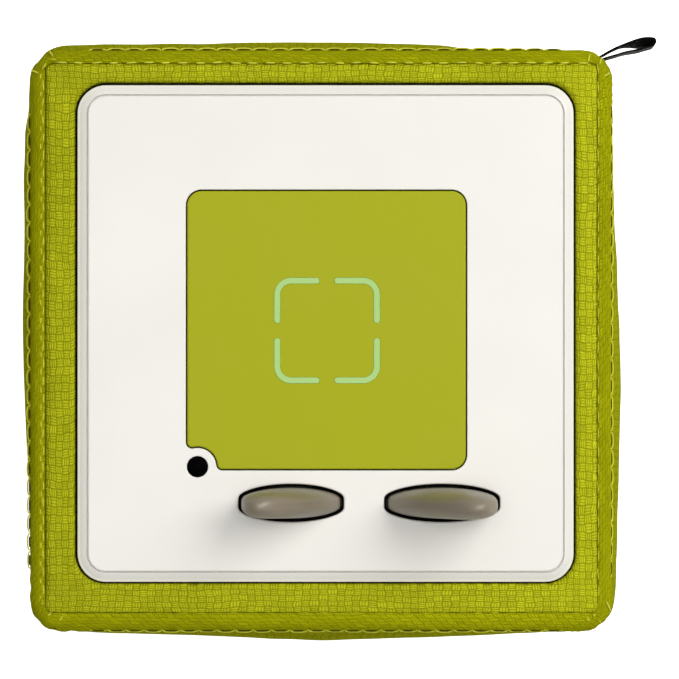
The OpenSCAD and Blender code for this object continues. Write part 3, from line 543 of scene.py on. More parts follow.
def sidePanel(name, node, side, turn, seed):
    c = coverSet
    half, across = (c["halfX"], c["halfY"]) if side in ("right", "left") else (c["halfY"], c["halfX"])
    columns, rows, jack = c["columns"], c["rows"], side == "back"
    spin = Matrix.Rotation(radians(turn), 4, "Z")
    shift = Vector((c["shiftX"], c["shiftY"], 0))
    tall = c["highZ"] - c["lowZ"]
    wide = 2 * (across - c["cornerDraw"] - c["cornerRadius"]) + pi / 2 * c["cornerRadius"]
    facing = 1 if side in ("right", "front") else -1

    def place(i, j):
        s, t = 2 * eased(i, columns) - 1, eased(j, rows)
        p, out = panelPoint(half, across, s, t)
        z = c["lowZ"] + t * tall
        toSeam = min(t, 1 - t) * tall
        toCorner = (1 - abs(s)) * wide / 2
        along = s * wide / 2
        # drawn in at every stitch of the seams, with faint folds running away from them
        dip = c["pucker"] * beatAt(1, along, c["pitch"]) * exp(-toSeam / c["puckerRun"])
        fold = c["fold"] * noise.noise(Vector((along / 4.2, seed, 0))) * exp(-toSeam / c["foldRun"])
        upright = c["upright"] * exp(-toCorner / c["uprightRun"])
        upright += 0.16 * exp(-toCorner / 3) * noise.noise(Vector((z / 4, seed + 9, 0)))
        # a little unevenness, less of it towards the top
        lump = lumpAt(along, z, 26, seed) * c["unevenness"] * (1 - 0.6 * smoothStep(70, 86, z))
        lump += lumpAt(along, z, 9, seed + 3) * c["ripple"]
        calm = min(1, toSeam / 12, toCorner / 6)
        lean = leanAt(side, facing * s) * min(1, toSeam / 14, toCorner / 5)
        p += out * (lump * calm - dip + fold * min(1, toSeam / 2) - upright - lean)
        p.z = z
        p = spin @ p + shift
        if jack:
            flat = smoothStep(jackSpot["seatEdge"], jackSpot["seatEnd"], fromJack(p))
            p.y = jackSpot["seat"] + (p.y - jackSpot["seat"]) * flat
        return p

    def lay(i, j):
        s, t = 2 * eased(i, columns) - 1, eased(j, rows)
        return (s * wide / 2 + 200 * seed, t * tall)

    bm = clothGrid(columns, rows, place, lay)
    if jack:
        cutJackHole(bm, half + c["shiftY"] - c["swell"] - c["backing"])
    # the panel's back, where it lies on the padding
    rim = [e for e in bm.edges if e.is_boundary and not (jack and fromJack(e.verts[0].co) < jackSpot["reach"])]
    limit = across - c["swell"] - c["backing"]
    for v in extruded(bm, rim):
        p = spin.inverted() @ (v.co - shift)
        p.x = half - c["swell"] - c["backing"]
        p.y = max(-limit, min(limit, p.y))
        v.co = spin @ p + shift
    back = [e for e in bm.edges if e.is_boundary]
    bmesh.ops.triangle_fill(bm, use_beauty=True, use_dissolve=False, edges=back)
    panel = finishMesh(bm, name, sideClothPaintedShade, 50, closed=True)
    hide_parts(node)


sidePanel("sidePanelRight", "cover_right", "right", 0, 1)
sidePanel("sidePanelLeft", "cover_left", "left", 180, 2)
sidePanel("sidePanelFront", "cover_front", "front", -90, 3)
sidePanel("sidePanelBack", "cover_back", "back", 90, 4)
print("side panels padded")

# Seams of the top, each a rounded rectangle: half sizes, radius, centre and height
seamSet = {
    "inner": {"halfX": 52.25, "halfY": 51.98, "r": 1.4, "cx": -0.95, "cy": -0.78, "z": 119.15},
    "outer": {"halfX": 55.3, "halfY": 55.2, "r": 6.0, "cx": -1.0, "cy": -1.3, "z": 117.1},
    "edge": {"halfX": 47.38, "halfY": 47.39, "r": 5.8, "cx": -0.23, "cy": 0.16, "z": 119.0},
    "innerPitch": 3.3,
}
# The top panel from the inner seam to the plate: its height, how far it falls at the seam and at a stitch, the
# slanting folds along its back, its lumps, and how it turns down at the plate
topSet = {
    "rows": 22, "flatShare": 0.8, "height": 119.85, "seamFall": 0.7, "seamRun": 0.75, "dip": 0.24, "dipRun": 0.9,
    "fold": 0.3, "foldPlace": 0.6, "lump": 0.14, "broadLump": 0.12,
    "edgeRound": 1.1, "edgeHigh": 118.55, "edgeTall": 4.1,
}
# The band between the two seams: its height at the inner seam, its fall to the outer one, how wide it is there
# and its fullness
bandSet = {
    "rows": 20, "height": 119.2, "fall": 2.15, "curve": 2.1, "rise": 0.42, "wide": 3.05,
    "bulge": 0.35, "dip": 0.3, "lump": 0.16, "frontRise": 0.42,
}
# The bottom panel, round the hole for the foot
bottomSet = {"rows": 26, "hole": 38.7, "height": 1.0, "seamRise": 1.95, "dip": 0.25, "lump": 0.12, "edgeRound": 0.6}
clothSet = {"topThick": 0.0004, "bottomThick": 0.0012}      # thicknesses, in metres


def seamLoop(which, z=None, flats=120, turns=14):
    s = seamSet[which]
    return roundedRect(s["halfX"], s["halfY"], s["r"], s["cx"], s["cy"], s["z"] if z is None else z, flats, turns)


class Seam:
    # a closed seam, with the distance walked to each of its points and its stitches counted out
    def __init__(self, points, pitch):
        self.points = points
        self.far = [0.0]
        for a, b in zip(points, points[1:] + points[:1]):
            self.far.append(self.far[-1] + (b - a).length)
        self.total = self.far[-1]
        self.count = round(self.total / pitch)

    def beat(self, i):
        return beatAt(self.count, self.far[i], self.total)

    def at(self, stitch, aside=0.0):
        # point, direction along and direction outwards at a stitch, moved aside along the seam
        distance = (stitch / self.count * self.total + aside) % self.total
        i = max(k for k in range(len(self.points)) if self.far[k] <= distance)
        a, b = self.points[i], self.points[(i + 1) % len(self.points)]
        step = (b - a).length
        along = (b - a).normalized()
        return a.lerp(b, (distance - self.far[i]) / step if step else 0), along, Vector((along.y, -along.x, 0))


def sideOf(out):
    if abs(out.y) > abs(out.x):
        return "back" if out.y > 0 else "front"
    return "right" if out.x > 0 else "left"


def bandHeight(q):
    # the band's height from the inner seam at 0 to the edge at 1
    b = bandSet
    return b["height"] - b["fall"] * q ** b["curve"] + b["rise"] * sin(pi * min(1, max(0, q))) ** 0.7


innerSeam = Seam(seamLoop("inner"), seamSet["innerPitch"])
outerSeam = Seam(seamLoop("outer"), coverSet["pitch"])
edgeLoop = seamLoop("edge")
ringCount = len(edgeLoop)


def atFront(y):
    # 1 along the top's front strip, where the inner seam is shallower
    return smoothStep(-48, -51, y)


def pulled(v, squeeze):
    # the cells are squeezed in the strips along the top's edges
    return v + squeeze * copysign(max(0, abs(v) - 46), v)


def topPanel():
    c = topSet

    def place(i, j):
        i %= ringCount
        q, edge = j / c["rows"], edgeLoop[i]
        if q > c["flatShare"]:
            k = (q - c["flatShare"]) / 0.2
            return Vector((edge.x, edge.y, c["edgeHigh"] - c["edgeTall"] * k))
        k = q / c["flatShare"]
        seam = innerSeam.points[i]
        p, wide = seam.lerp(edge, k * 0.985), (seam - edge).length
        inward = k * wide
        soft = 1 - 0.6 * atFront(p.y)
        z = c["height"] - c["seamFall"] * soft * exp(-inward / c["seamRun"])
        z -= c["dip"] * soft * innerSeam.beat(i) * exp(-inward / c["dipRun"])
        stitch = innerSeam.count * innerSeam.far[i] / innerSeam.total
        slant = 0.5 + 0.5 * cos(2 * pi * (stitch - 0.3 * inward))
        z -= c["fold"] * slant ** 3 * exp(-(inward - c["foldPlace"]) ** 2 / 1.1) * smoothStep(46, 50, p.y)
        lump = lumpAt(p.x, p.y, 7, 5) * c["lump"] + lumpAt(p.x, p.y, 22, 7) * c["broadLump"]
        z += lump * min(1, inward / 1.2) - roundOver(c["edgeRound"], (1 - k) * wide)
        return Vector((p.x, p.y, z))

    def lay(i, j):
        p = place(i, min(j, c["rows"] * c["flatShare"]))
        return (pulled(p.x, 0.23), pulled(p.y, 0.43) + 0.35 * (p.z - 119))

    bm = clothGrid(ringCount, c["rows"], place, lay, wrap=True)
    faceTowards(bm, 1)
    return bm


def seamBand():
    c = bandSet

    def place(i, j):
        i %= ringCount
        q = j / c["rows"]
        a, b = innerSeam.points[i], outerSeam.points[i]
        p, wide = a.lerp(b, q ** 0.9), (b - a).length
        z = bandHeight(q) - c["dip"] * innerSeam.beat(i) * exp(-q * wide / 0.8)
        z += c["frontRise"] * atFront(a.y) * exp(-q * wide / 0.8)
        out = (b - a).normalized() if wide else Vector((0, 0, 0))
        drawn = c["dip"] * outerSeam.beat(i) * exp(-(1 - q) * wide / 0.9)
        p = p + Vector((out.x, out.y, 0)) * (c["bulge"] * sin(pi * q) - drawn)
        return Vector((p.x, p.y, z + lumpAt(p.x, p.y, 5, 11) * c["lump"] * sin(pi * q)))

    def lay(i, j):
        up = 4.4 * (1 - j / c["rows"])
        return (0.95 * outerSeam.far[i] + 1.1 * up + 700, 2.3 * up)

    bm = clothGrid(ringCount, c["rows"], place, lay, wrap=True)
    faceTowards(bm, 1)
    return bm


def thicken(piece, thickness, offset=-1):
    wall = piece.modifiers.new("clothThickness", "SOLIDIFY")
    wall.thickness = thickness
    wall.offset = offset
    return piece


topPiece = thicken(finishMesh(topPanel(), "topPanel", coverCloth, 60), clothSet["topThick"])
bandPiece = thicken(finishMesh(seamBand(), "topSeamBand", bandCloth, 60), clothSet["topThick"])
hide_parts("cover_top")
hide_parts("cover_top")


def bottomPanel():
    c = bottomSet
    seam = Seam(seamLoop("outer", 0, 40, 10), coverSet["pitch"])
    n = len(seam.points)

    def place(i, j):
        i %= n
        q, a = j / c["rows"], seam.points[i]
        b = Vector((a.x, a.y, 0)).normalized() * c["hole"]
        p, wide = a.lerp(b, q), (b - a).length
        d = q * wide
        z = c["height"] + c["seamRise"] * exp(-d / 1.3) + c["dip"] * seam.beat(i) * exp(-d / 1.0)
        z += lumpAt(p.x, p.y, 12, 21) * c["lump"] * min(1, d / 3, (wide - d) / 2)
        return Vector((p.x, p.y, z + roundOver(c["edgeRound"], wide - d)))

    def lay(i, j):
        p = place(i, j)
        return (p.x + 900, p.y)

    bm = clothGrid(n, c["rows"], place, lay, wrap=True)
    faceTowards(bm, -1)
    panel = thicken(finishMesh(bm, "bottomPanel", coverCloth, 60), clothSet["bottomThick"])
    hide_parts("cover_bottom")


bottomPanel()
print("top and bottom panels laid")

# The stitches, in millimetres
stitchSet = {
    # rows of the inner seam on each side: step along, distance outwards, length, thickness, rise and thread
    "back": [(0.5, 0.12, 1.95, 0.36, 0.3, "bright")],
    "left": [(0.5, 0.4, 1.8, 0.27, 0.22, "bright"), (0.0, 0.85, 1.3, 0.22, 0.2, "dull")],
    "right": [(0.5, 0.12, 2.3, 0.2, 0.22, "bright"), (0.0, -0.62, 1.0, 0.2, 0.46, "dull")],
    "front": [],
    # the dark strand of painted shade beside each stitch, for the shade in the hollow there, as points along and
    # outwards
    "shadeStrands": {
        "back": [(1.35, -0.85), (1.0, -0.36), (0.3, -0.17), (-0.9, -0.15)],
        "left": [(1.55, 0.0), (0.5, -0.03), (-0.5, -0.03), (-1.5, 0.0)],
        "right": [(1.55, -0.22), (0.5, -0.2), (-0.5, -0.2), (-1.5, -0.22)],
    },
    # where the edge's arcs begin, and how far they reach outwards
    "arcs": {"back": (-0.15, 0.42), "left": (-0.15, 0.65), "right": (-0.5, 0.5), "front": (-0.45, 0.45)},
    "arcThick": 0.27, "shadeStrandThick": 0.3, "tackThick": 0.36, "seamShadeStrand": 0.2, "grainSag": 0.14,
    "topEdge": 117.1, "bottomEdge": 2.9, "cornerEnd": 0.22,
}
# Tacking stitches across the band at the corners, as pairs of ends in plan, and two knots
tackSet = {
    "tacks": [((-52.6, 53.8), (-51.8, 52.6)), ((-56.0, 50.0), (-54.6, 49.4)), ((-54.6, -51.6), (-53.6, -50.9)),
              ((-53.4, -54.2), (-52.1, -52.7)), ((-51.2, -55.1), (-49.9, -53.4)), ((49.9, 53.0), (49.5, 51.6)),
              ((52.1, 52.4), (51.7, 51.1)), ((53.7, 49.5), (52.6, 48.8)), ((50.3, -55.0), (49.3, -53.6)),
              ((51.9, -54.6), (50.5, -53.0)), ((53.8, -52.4), (53.0, -50.7))],
    "lowEnd": 118.75, "highEnd": 119.5, "rise": 0.12,
    "knots": [(-55.2, -51.9), (-51.4, -55.6)], "knotZ": 118.1,
}


def grainMesh(long, thick, sag):
    # one stitch: a plump strand whose ends turn down into the cloth
    bm = bmesh.new()
    bmesh.ops.create_uvsphere(bm, u_segments=8, v_segments=7, radius=1)
    bmesh.ops.rotate(bm, matrix=Matrix.Rotation(radians(90), 3, "Y"), verts=bm.verts)
    for v in bm.verts:
        x = copysign(abs(v.co.x) ** 0.8, v.co.x)
        v.co = Vector((x * long / 2, v.co.y * thick / 2, v.co.z * thick / 2 - sag * x * x))
    return toMesh(bm, "stitchPattern")


def smoothPath(points, steps):
    # a soft curve through the points
    path = []
    n = len(points)
    for k in range(n - 1):
        p0, p1, p2, p3 = (Vector(points[min(max(k + o, 0), n - 1)]) for o in (-1, 0, 1, 2))
        for i in range(steps):
            t = i / steps
            square, cube = 2 * p0 - 5 * p1 + 4 * p2 - p3, 3 * p1 - p0 - 3 * p2 + p3
            path.append(0.5 * ((2 * p1) + (p2 - p0) * t + square * t * t + cube * t ** 3))
    path.append(Vector(points[-1]))
    return path


def strandMesh(path, thick, sides=6):
    # one strand along a path, tapered into the cloth at both ends
    bm = bmesh.new()
    outlines = []
    turns = [2 * pi * i / sides for i in range(sides)]
    for k, p in enumerate(path):
        way = (path[min(k + 1, len(path) - 1)] - path[max(k - 1, 0)]).normalized()
        side = way.cross(Vector((0, 0, 1))).normalized()
        lift = side.cross(way)
        r = thick / 2 * (0.55 if k in (0, len(path) - 1) else 1)
        outlines.append([p + side * r * cos(a) + lift * r * sin(a) for a in turns])
    for end in stackRings(bm, outlines):
        bmesh.ops.contextual_create(bm, geom=end)
    bmesh.ops.recalc_face_normals(bm, faces=bm.faces)
    return toMesh(bm, "strandPattern")


def stamp(bm, pattern, place):
    # adds a pattern to the mesh at its place, then drops the pattern
    before = len(bm.verts)
    bm.from_mesh(pattern)
    bm.verts.ensure_lookup_table()
    bmesh.ops.transform(bm, matrix=place, verts=bm.verts[before:])
    bpy.data.meshes.remove(pattern)


def stand(point, along, out):
    # a placing matrix with x along the seam, y outwards and z up from the cloth
    up = along.cross(out).normalized()
    if up.z < 0:
        up = -up
    m = Matrix((along, out, up)).transposed().to_4x4()
    m.translation = point
    return m


def innerStitches():
    sewn = {"bright": bmesh.new(), "dull": bmesh.new()}
    shadeStrands = bmesh.new()
    for k in range(innerSeam.count):
        here, along, out = innerSeam.at(k + 0.5)
        side = sideOf(out)
        for step, off, long, thick, rise, thread in stitchSet[side]:
            p, along, out = innerSeam.at(k + step, chance.uniform(-0.15, 0.15))
            lean = Matrix.Rotation(radians(chance.uniform(-5, 5)), 3, "Z")
            grain = grainMesh(long * chance.uniform(0.88, 1.08), thick, stitchSet["grainSag"])
            p = p + out * (off + chance.uniform(-0.06, 0.06)) + Vector((0, 0, rise))
            stamp(sewn[thread], grain, stand(p, lean @ along, lean @ out))
        # a dark strand of painted shade beside the stitch
        if side in stitchSet["shadeStrands"]:
            path = [Vector((x + chance.uniform(-0.08, 0.08), y, 0.12 - 0.1 * abs(x)))
                    for x, y in stitchSet["shadeStrands"][side]]
            shadeStrand = strandMesh(smoothPath(path, 3), stitchSet["seamShadeStrand"] * (1 if side == "back" else 0.6))
            stamp(shadeStrands, shadeStrand, stand(here + Vector((0, 0, 0.1)), along, out))
    for name, bm, finish in (("innerSeamStitches", sewn["bright"], brightThread),
                             ("innerSeamShorts", sewn["dull"], dullThread), ("innerSeamShadeStrands", shadeStrands, seamShade)):
        finishMesh(bm, name, finish, 0)


def outerStitches(name, z, down=False):
    # a row of small arcs that whip the panel's edge to the sides, each with a dark strand of painted shade inside it
    bm, shadeStrands = bmesh.new(), bmesh.new()
    half = outerSeam.total / outerSeam.count * 0.47
    flip = Matrix.Diagonal((1, 1, -1 if down else 1, 1))
    middle = seamSet["outer"]
    for k in range(outerSeam.count):
        p, along, out = outerSeam.at(k + 0.5)
        base, reach = stitchSet["arcs"][sideOf(out)]
        # the arcs lie closer where the sides turn the corner
        straight = smoothStep(0, 18, 50 - min(abs(p.x - middle["cx"]), abs(p.y - middle["cy"])))
        if straight < stitchSet["cornerEnd"]:
            continue
        reach *= chance.uniform(0.85, 1.15) * (0.45 + 0.55 * straight)
        lift = bandHeight(1 + base / bandSet["wide"]) - (bandSet["height"] - bandSet["fall"])
        path = []
        for i in range(9):
            a = pi * i / 8
            bow = sin(a) ** 0.7
            rise = 0.1 + lift * (1 - bow) - 1.1 * max(0, base + reach) * bow
            path.append(Vector((-half * cos(a), base + reach * bow, rise)))
        place = stand(Vector((p.x, p.y, z)), along, out) @ flip
        stamp(bm, strandMesh(path, stitchSet["arcThick"] * chance.uniform(0.9, 1.1)), place)
        # a dark strand of painted shade inside the arc
        wide = chance.uniform(0.75, 1.05)
        path = [Vector((x * wide, base + 0.16, lift * 0.75 + 0.14 - 0.06 * x * x)) for x in (-1.1, -0.6, 0, 0.6, 1.1)]
        stamp(shadeStrands, strandMesh(path, stitchSet["shadeStrandThick"]), place)
    for title, made, finish in ((name, bm, dullThread), (name + "ShadeStrands", shadeStrands, slitShade)):
        bmesh.ops.recalc_face_normals(made, faces=made.faces)
        finishMesh(made, title, finish, 0)


def cornerTacks():
    bm = bmesh.new()
    for a, b in tackSet["tacks"]:
        a, b = Vector((*a, tackSet["lowEnd"])), Vector((*b, tackSet["highEnd"]))
        way = b - a
        out = Vector((0, 0, 1)).cross(way).normalized()
        middle = (a + b) / 2 + Vector((0, 0, tackSet["rise"]))
        stamp(bm, grainMesh(way.length * 1.15, stitchSet["tackThick"], 0.1), stand(middle, way.normalized(), out))
    finishMesh(bm, "cornerTacks", brightThread, 0)
    bm = bmesh.new()
    for x, y in tackSet["knots"]:
        place = stand(Vector((x, y, tackSet["knotZ"])), Vector((1, 0, 0)), Vector((0, 1, 0)))
        stamp(bm, grainMesh(1.0, 0.7, 0.1), place)
    finishMesh(bm, "cornerKnots", slitShade, 0)


innerStitches()
outerStitches("topEdgeStitches", stitchSet["topEdge"])
outerStitches("bottomEdgeStitches", stitchSet["bottomEdge"], down=True)
cornerTacks()
print("stitches sewn")

# The ribbon loop at the upright corner, with its run in plan from the root
ribbonSet = {
    "root": (52.2, 52.4), "lowZ": 103.0, "width": 10.0, "thickness": 0.32, "lean": 8.0, "reach": 10.8, "rows": 12,
    "points": [(-0.3, 0.35), (0.47, 0.8), (1.4, 1.35), (2.6, 2), (4.1, 2.65), (5.6, 3.05), (7.1, 3.3), (8.8, 3.4),
               (10.0, 3.3), (10.4, 2.95), (9.9, 2.55), (9.0, 2.3), (7.5, 1.85), (6.1, 1.6), (4.6, 1.3),
               (3.15, 0.85), (1.2, 0.3), (0.2, -0.1)],
}


def ribbonLoop():
    s = ribbonSet
    path = smoothPath(s["points"], 6)
    far = [0.0]
    for a, b in zip(path, path[1:]):
        far.append(far[-1] + (b - a).length)
    tip = sin(radians(s["lean"])) * s["width"]

    def place(i, j):
        p, q = path[i], j / s["rows"]
        reach = max(0, p.x / s["reach"])
        # the ribbon tips over towards its end, less so on its way back
        share = i / (len(path) - 1)
        lean = tip * (q - 0.5) * smoothStep(0.35, 0.8, reach) * (1 - 0.92 * smoothStep(0.45, 0.6, share))
        sag = 0.8 * reach * reach * sin(pi * q) * 0.3
        return Vector((s["root"][0] + p.x + 0.35 * lean + sag * 0.3, s["root"][1] + p.y + lean,
                       s["lowZ"] + s["width"] * q - 0.5 * reach))

    def lay(i, j):
        return (far[i], s["width"] * j / s["rows"])

    bm = clothGrid(len(path) - 1, s["rows"], place, lay)
    loop = finishMesh(bm, "ribbonLoop", ribbonCloth, 60)
    thicken(loop, s["thickness"] / 1000, offset=0)
    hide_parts("hanging_loop")


ribbonLoop()
print("ribbon looped")

# The moulded top plate. Heights are above the table
plateSet = {
    "halfX": 46.97, "halfY": 47.02, "cx": -0.18, "cy": 0.08, "r": 5.4, "rim": 1.82, "wall": 2.2,
    "top": 120, "skin": 117.0, "skirt": 114.0, "slotRound": 0.3, "pocketFloor": 118.7, "pocketRound": 0.14,
    "lightGap": 0.05, "lightRound": 0.15,
}
earSet = {
    "y": -31.95, "slotHalfW": 3.6, "gap": 0.7, "foot": 115.25, "levels": 56,
    "left": {"x": -6.7, "slotHalf": 10.0, "height": 20.0, "mirror": 1, "body": "small_ear", "node": "ear_left"},
    "right": {"x": 21.85, "slotHalf": 10.95, "height": 27.0, "mirror": -1, "body": "large_ear", "node": "ear_right"},
}
padSet = {
    "halfX": 26.35, "halfY": 26.3, "r": 2.7, "cx": 0.0, "cy": 0.75, "low": 118.72, "round": 0.3,
    "notch": 3.8, "notchRound": 0.9, "gap": 0.25, "lightX": -24.4, "lightY": -25.1, "lightR": 1.95,
}
markSet = {
    "half": 10.0, "line": 1.15, "r": 3.2, "gap": 2.8, "cx": 0.1, "cy": 0.65, "rise": 0.02,
    "clearance": 0.05, "bevel": 0.08, "floor": 119.75, "low": 119.76, "high": 119.97,
}
lensSet = {"r": 1.92, "stemR": 1.88, "low": 117.3, "shoulder": 119.55, "domeZ": 119.6, "dome": 0.62}
edgeTurns = (0, 22, 45, 68, 90)      # degrees at which the rounded edges are cut


def plateRing(grow, z, least=0.0):
    s = plateSet
    return roundedRect(s["halfX"] + grow, s["halfY"] + grow, max(least, s["r"] + grow), s["cx"], s["cy"], z, 6, 12)


def slotRing(side, grow, z):
    e = earSet[side]
    return barrel(e["slotHalf"] + grow, earSet["slotHalfW"] + grow, e["x"], earSet["y"], z)


def padOutline(grow, z, turns=10):
    # the pad's outline, moved outwards by grow, with its notch round the status light
    s = padSet
    left, right = s["cx"] - s["halfX"] - grow, s["cx"] + s["halfX"] + grow
    low, high = s["cy"] - s["halfY"] - grow, s["cy"] + s["halfY"] + grow
    r, notch, fil = s["r"] + grow, s["notch"] - grow, s["notchRound"] + grow
    lx, ly = s["lightX"], s["lightY"]

    def arc(cx, cy, radius, a0, a1, n):
        return arcPoints(radius, cx, cy, z, [a0 + (a1 - a0) * i / n for i in range(n + 1)])

    fx = lx + sqrt((notch + fil) ** 2 - (low + fil - ly) ** 2)
    fy = ly + sqrt((notch + fil) ** 2 - (left + fil - lx) ** 2)
    toLow = degrees(atan2(ly - low - fil, lx - fx))
    toLeft = degrees(atan2(ly - fy, lx - left - fil))
    points = arc(fx, low + fil, fil, toLow, -90 if toLow < 0 else 270, 8)
    points += arc(right - r, low + r, r, -90, 0, turns)
    points += arc(right - r, high - r, r, 0, 90, turns)
    points += arc(left + r, high - r, r, 90, 180, turns)
    points += arc(left + fil, fy, fil, 180, 360 + toLeft if toLeft < 0 else toLeft, 8)
    a0 = degrees(atan2(fy - ly, left + fil - lx))
    a1 = degrees(atan2(low + fil - ly, fx - lx))
    points += arc(lx, ly, notch, a0, a1, 16)[1:-1]
    return points


def topPlate():
    s, top = plateSet, plateSet["top"]
    bm = bmesh.new()
    # up the skirt, over the rounded edge, up the sloping rim, through its groove and on to the flat
    r = s["rim"]
    section = [(0, s["skirt"]), (0, 118.85), (0.03, 118.97), (0.1, 119.06), (0.18, 119.1), (0.46, 119.12),
               (0.52, 119.15), (r - 0.12, 119.93), (r - 0.06, 119.93), (r - 0.02, 119.4), (r - 0.01, 119.1),
               (r + 0.12, 119.1), (r + 0.13, 119.4), (r + 0.22, 119.85), (r + 0.3, 119.97), (r + 0.4, top),
               (r + 0.6, top)]
    first, ring = stackRings(bm, [plateRing(-inset, z, least=0.4) for inset, z in section])
    topRings, lowRings = [ring], []

    def hole(outline, depth, r):
        # a rounded edge round an opening, then its wall
        rings = [(r + 0.2, top)]
        rings += [(r * (1 - sin(a)), top - r * (1 - cos(a))) for a in map(radians, edgeTurns)]
        rings.append((0, depth))
        start, end = stackRings(bm, [outline(grow, z) for grow, z in rings])
        topRings.append(start)
        return end

    for side in ("left", "right"):
        lowRings.append(hole(lambda g, z, side=side: slotRing(side, g, z), s["skin"], s["slotRound"]))
    light = padSet["lightR"] + s["lightGap"]
    lowRings.append(hole(lambda g, z: circlePoints(light + g, padSet["lightX"], padSet["lightY"], z), s["skin"],
                         s["lightRound"]))
    pocket = hole(lambda g, z: padOutline(padSet["gap"] + g, z), s["pocketFloor"], s["pocketRound"])
    fillFlat(bm, *topRings)
    fillFlat(bm, pocket)
    inner = pushRing(bm, first, plateRing(-s["wall"], s["skirt"], least=0.4))
    inner = pushRing(bm, inner, plateRing(-s["wall"], s["skin"], least=0.4))
    fillFlat(bm, inner, *lowRings)
    plate = finishMesh(bm, "topPlate", platePlastic, 50, closed=True)
    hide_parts("top_plate")


def markOutlines(grow):
    # four rounded corner brackets, each one closed outline
    s = markSet
    outlines = []
    arm = s["half"] - s["r"] - s["gap"] / 2 - s["line"] / 2
    mid, cap = s["r"] - s["line"] / 2, s["line"] / 2 + grow
    c = s["half"] - s["r"]
    ends = [radians(a) for a in range(0, 181, 18)]
    for q in range(4):
        spin = Matrix.Rotation(radians(90 * q), 3, "Z")
        # outside corner, cap of the upper arm, inside corner, cap of the lower arm
        points = arcPoints(s["r"] + grow, c, c, 0, range(0, 91, 9))
        points += [Vector((c - arm - cap * sin(a), c + mid + cap * cos(a), 0)) for a in ends]
        points += arcPoints(s["r"] - s["line"] - grow, c, c, 0, range(90, -1, -9))
        points += [Vector((c + mid - cap * cos(a), c - arm - cap * sin(a), 0)) for a in ends]
        outlines.append([spin @ p + Vector((s["cx"], s["cy"], 0)) for p in points])
    return outlines


def targetPad():
    s, top = padSet, plateSet["top"]
    bm = bmesh.new()
    r = s["round"]
    rings = [(0, s["low"])]
    rings += [(-r * (1 - cos(a)), top - r + r * sin(a)) for a in map(radians, edgeTurns)]
    rings.append((-r - 0.3, top))
    first, last = stackRings(bm, [padOutline(grow, z) for grow, z in rings])
    topRings = [last]
    for outline in markOutlines(markSet["clearance"]):
        edge, floor = stackRings(bm, [atHeight(outline, top), atHeight(outline, markSet["floor"])])
        topRings.append(edge)
        fillFlat(bm, floor)
    fillFlat(bm, *topRings)
    fillFlat(bm, first)
    pad = finishMesh(bm, "targetPad", padPlastic, 50, closed=True)
    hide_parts("target_pad")


def targetMarks():
    s = markSet
    bm = bmesh.new()
    for wide, narrow in zip(markOutlines(0), markOutlines(-s["bevel"])):
        top = atHeight(narrow, plateSet["top"] + s["rise"])
        closedStack(bm, [atHeight(wide, s["low"]), atHeight(wide, s["high"]), top])
    marks = finishMesh(bm, "targetMarks", markPaint, 30, closed=True)
    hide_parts("target_marks")


def statusLens():
    # a dark dome on a short stem
    s = lensSet
    bm = bmesh.new()
    section = [(s["stemR"], s["low"]), (s["r"], s["shoulder"])]
    section += [(s["r"] * cos(a), s["domeZ"] + s["dome"] * sin(a))
                for a in map(radians, (10, 25, 40, 55, 70, 82))]
    closedStack(bm, [circlePoints(r, padSet["lightX"], padSet["lightY"], z) for r, z in section])
    lens = finishMesh(bm, "statusLens", lensBlack, 50, closed=True)


def paintedGapShade():
    # thin dark strips that close the gaps round the plate, in the ear slots and round the pad: painted shade that
    # darkens the gaps, in the ear slots also standing for the ears' black base
    bm = bmesh.new()

    def strip(outline, a, b, low, high):
        corners = ((a, low), (a, high), (b, high), (b, low))
        first, ring = stackRings(bm, [outline(grow, z) for grow, z in corners])
        bmesh.ops.bridge_loops(bm, edges=ringEdges(bm, ring) + ringEdges(bm, first))

    strip(plateRing, 0.03, 0.26, 115, 118.4)
    for side in ("left", "right"):
        for a, low, high in ((-0.14, 117.2, 119.45), (-0.42, 115.2, 117.6)):
            strip(lambda g, z, side=side: slotRing(side, g, z), a, -0.01, low, high)
    strip(padOutline, 0.04, 0.22, 118.8, 119.5)
    gapShadePiece = finishMesh(bm, "gapShadeStrips", gapShadeBlack, 50, closed=True)


topPlate()
targetPad()
targetMarks()
statusLens()
paintedGapShade()
print("plate moulded")


def earRing(e, u):
    # one level of an ear; u runs from 0 at the plate to 1 at the tip
    halfL, halfW = e["slotHalf"] - earSet["gap"], earSet["slotHalfW"] - earSet["gap"]
    v = max(0, u)
    inner = halfL - 1.27 * halfL * v ** 1.2
    outer = -halfL + 0.6 * v * v
    a = (inner - outer) / 2 * sqrt(1 - 0.9995 * v ** 11)
    b = (halfW - 0.65 * v) * sqrt(1 - 0.9995 * v ** 14)
    z = plateSet["top"] + u * e["height"]
    points = barrel(a, b, (inner + outer) / 2, 0, z, power=5 - 2.2 * v, pinch=0.42 - 0.3 * v)
    return [Vector((e["x"] + e["mirror"] * p.x, earSet["y"] + p.y, p.z)) for p in points]


def rubberEar(name, e):
    bm = bmesh.new()
    low, count = (earSet["foot"] - plateSet["top"]) / e["height"], earSet["levels"]
    levels = [low, low / 2] + [1 - (1 - i / count) ** 2.2 for i in range(count + 1)]
    closedStack(bm, [earRing(e, u) for u in levels])
    ear = finishMesh(bm, name, earRubber, 0, body=e["body"], closed=True)
    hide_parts(e["node"])


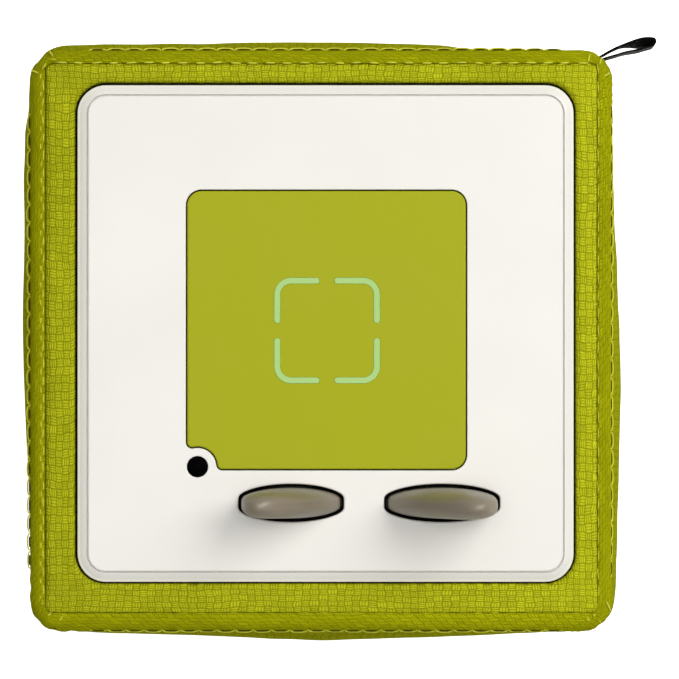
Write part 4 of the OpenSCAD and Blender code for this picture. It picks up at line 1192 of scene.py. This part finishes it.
rubberEar("earSmall", earSet["left"])
rubberEar("earLarge", earSet["right"])
print("ears moulded")

# The studio, in metres: the lights' places, sizes and powers, and a floor that glows round the player
studioSet = {
    "lights": {"keyLight": ((0.53, 0.37, 0.96), 0.7, 6.4), "overheadLight": ((0.1, 0.0, 1.5), 1.5, 4.0),
               "smallLamp": ((0.0, 0.0, 1.3), 0.45, 3.6)},
    "lightColour": (1, 0.985, 0.965), "aim": (0, 0, 0.08), "world": 0.19, "worldColour": (0.97, 0.985, 1, 1),
    "floorGlow": 0.95, "floorFar": 0.15, "glowStart": 0.085, "glowEnd": 0.24, "floorZ": -0.0004,
}


def areaLight(name, place, size, power):
    data = bpy.data.lights.new(name, "AREA")
    data.shape = "DISK"
    data.size = size
    data.energy = power
    data.color = studioSet["lightColour"]
    light = inScene(name, data)
    light.location = place
    light.rotation_euler = (Vector(studioSet["aim"]) - Vector(place)).to_track_quat("-Z", "Y").to_euler()


def studio():
    s = studioSet
    for name, (place, size, power) in s["lights"].items():
        areaLight(name, place, size, power)
    world = bpy.data.worlds.new("studioWorld")
    bpy.context.scene.world = world
    world.use_nodes = True
    world.node_tree.nodes["Background"].inputs[0].default_value = s["worldColour"]
    world.node_tree.nodes["Background"].inputs[1].default_value = s["world"]
    bm = bmesh.new()
    bmesh.ops.create_grid(bm, x_segments=8, y_segments=8, size=3)
    mesh = toMesh(bm, "studioFloor")
    floor = inScene("studioFloor", mesh)
    kit = Nodes("floorPaper", (0.9, 0.9, 0.9, 1), 0.8)
    kit.shader.inputs["Emission Color"].default_value = (1, 1, 1, 1)
    # a lit panel under the player, fading away from it
    x, y = kit.split(kit.place())[:2]
    away = kit.math("MAXIMUM", kit.math("ABSOLUTE", x), kit.math("ABSOLUTE", y))
    glow = kit.spread(away, s["floorGlow"], s["floorFar"], s["glowStart"], s["glowEnd"])
    kit.wire(glow, "Emission Strength")
    kit.wire(kit.bump(kit.patches(kit.place(), 220, 3), 0.0001), "Normal")
    mesh.materials.append(kit.material)
    floor.location.z = s["floorZ"]


studio()
print("studio lit")
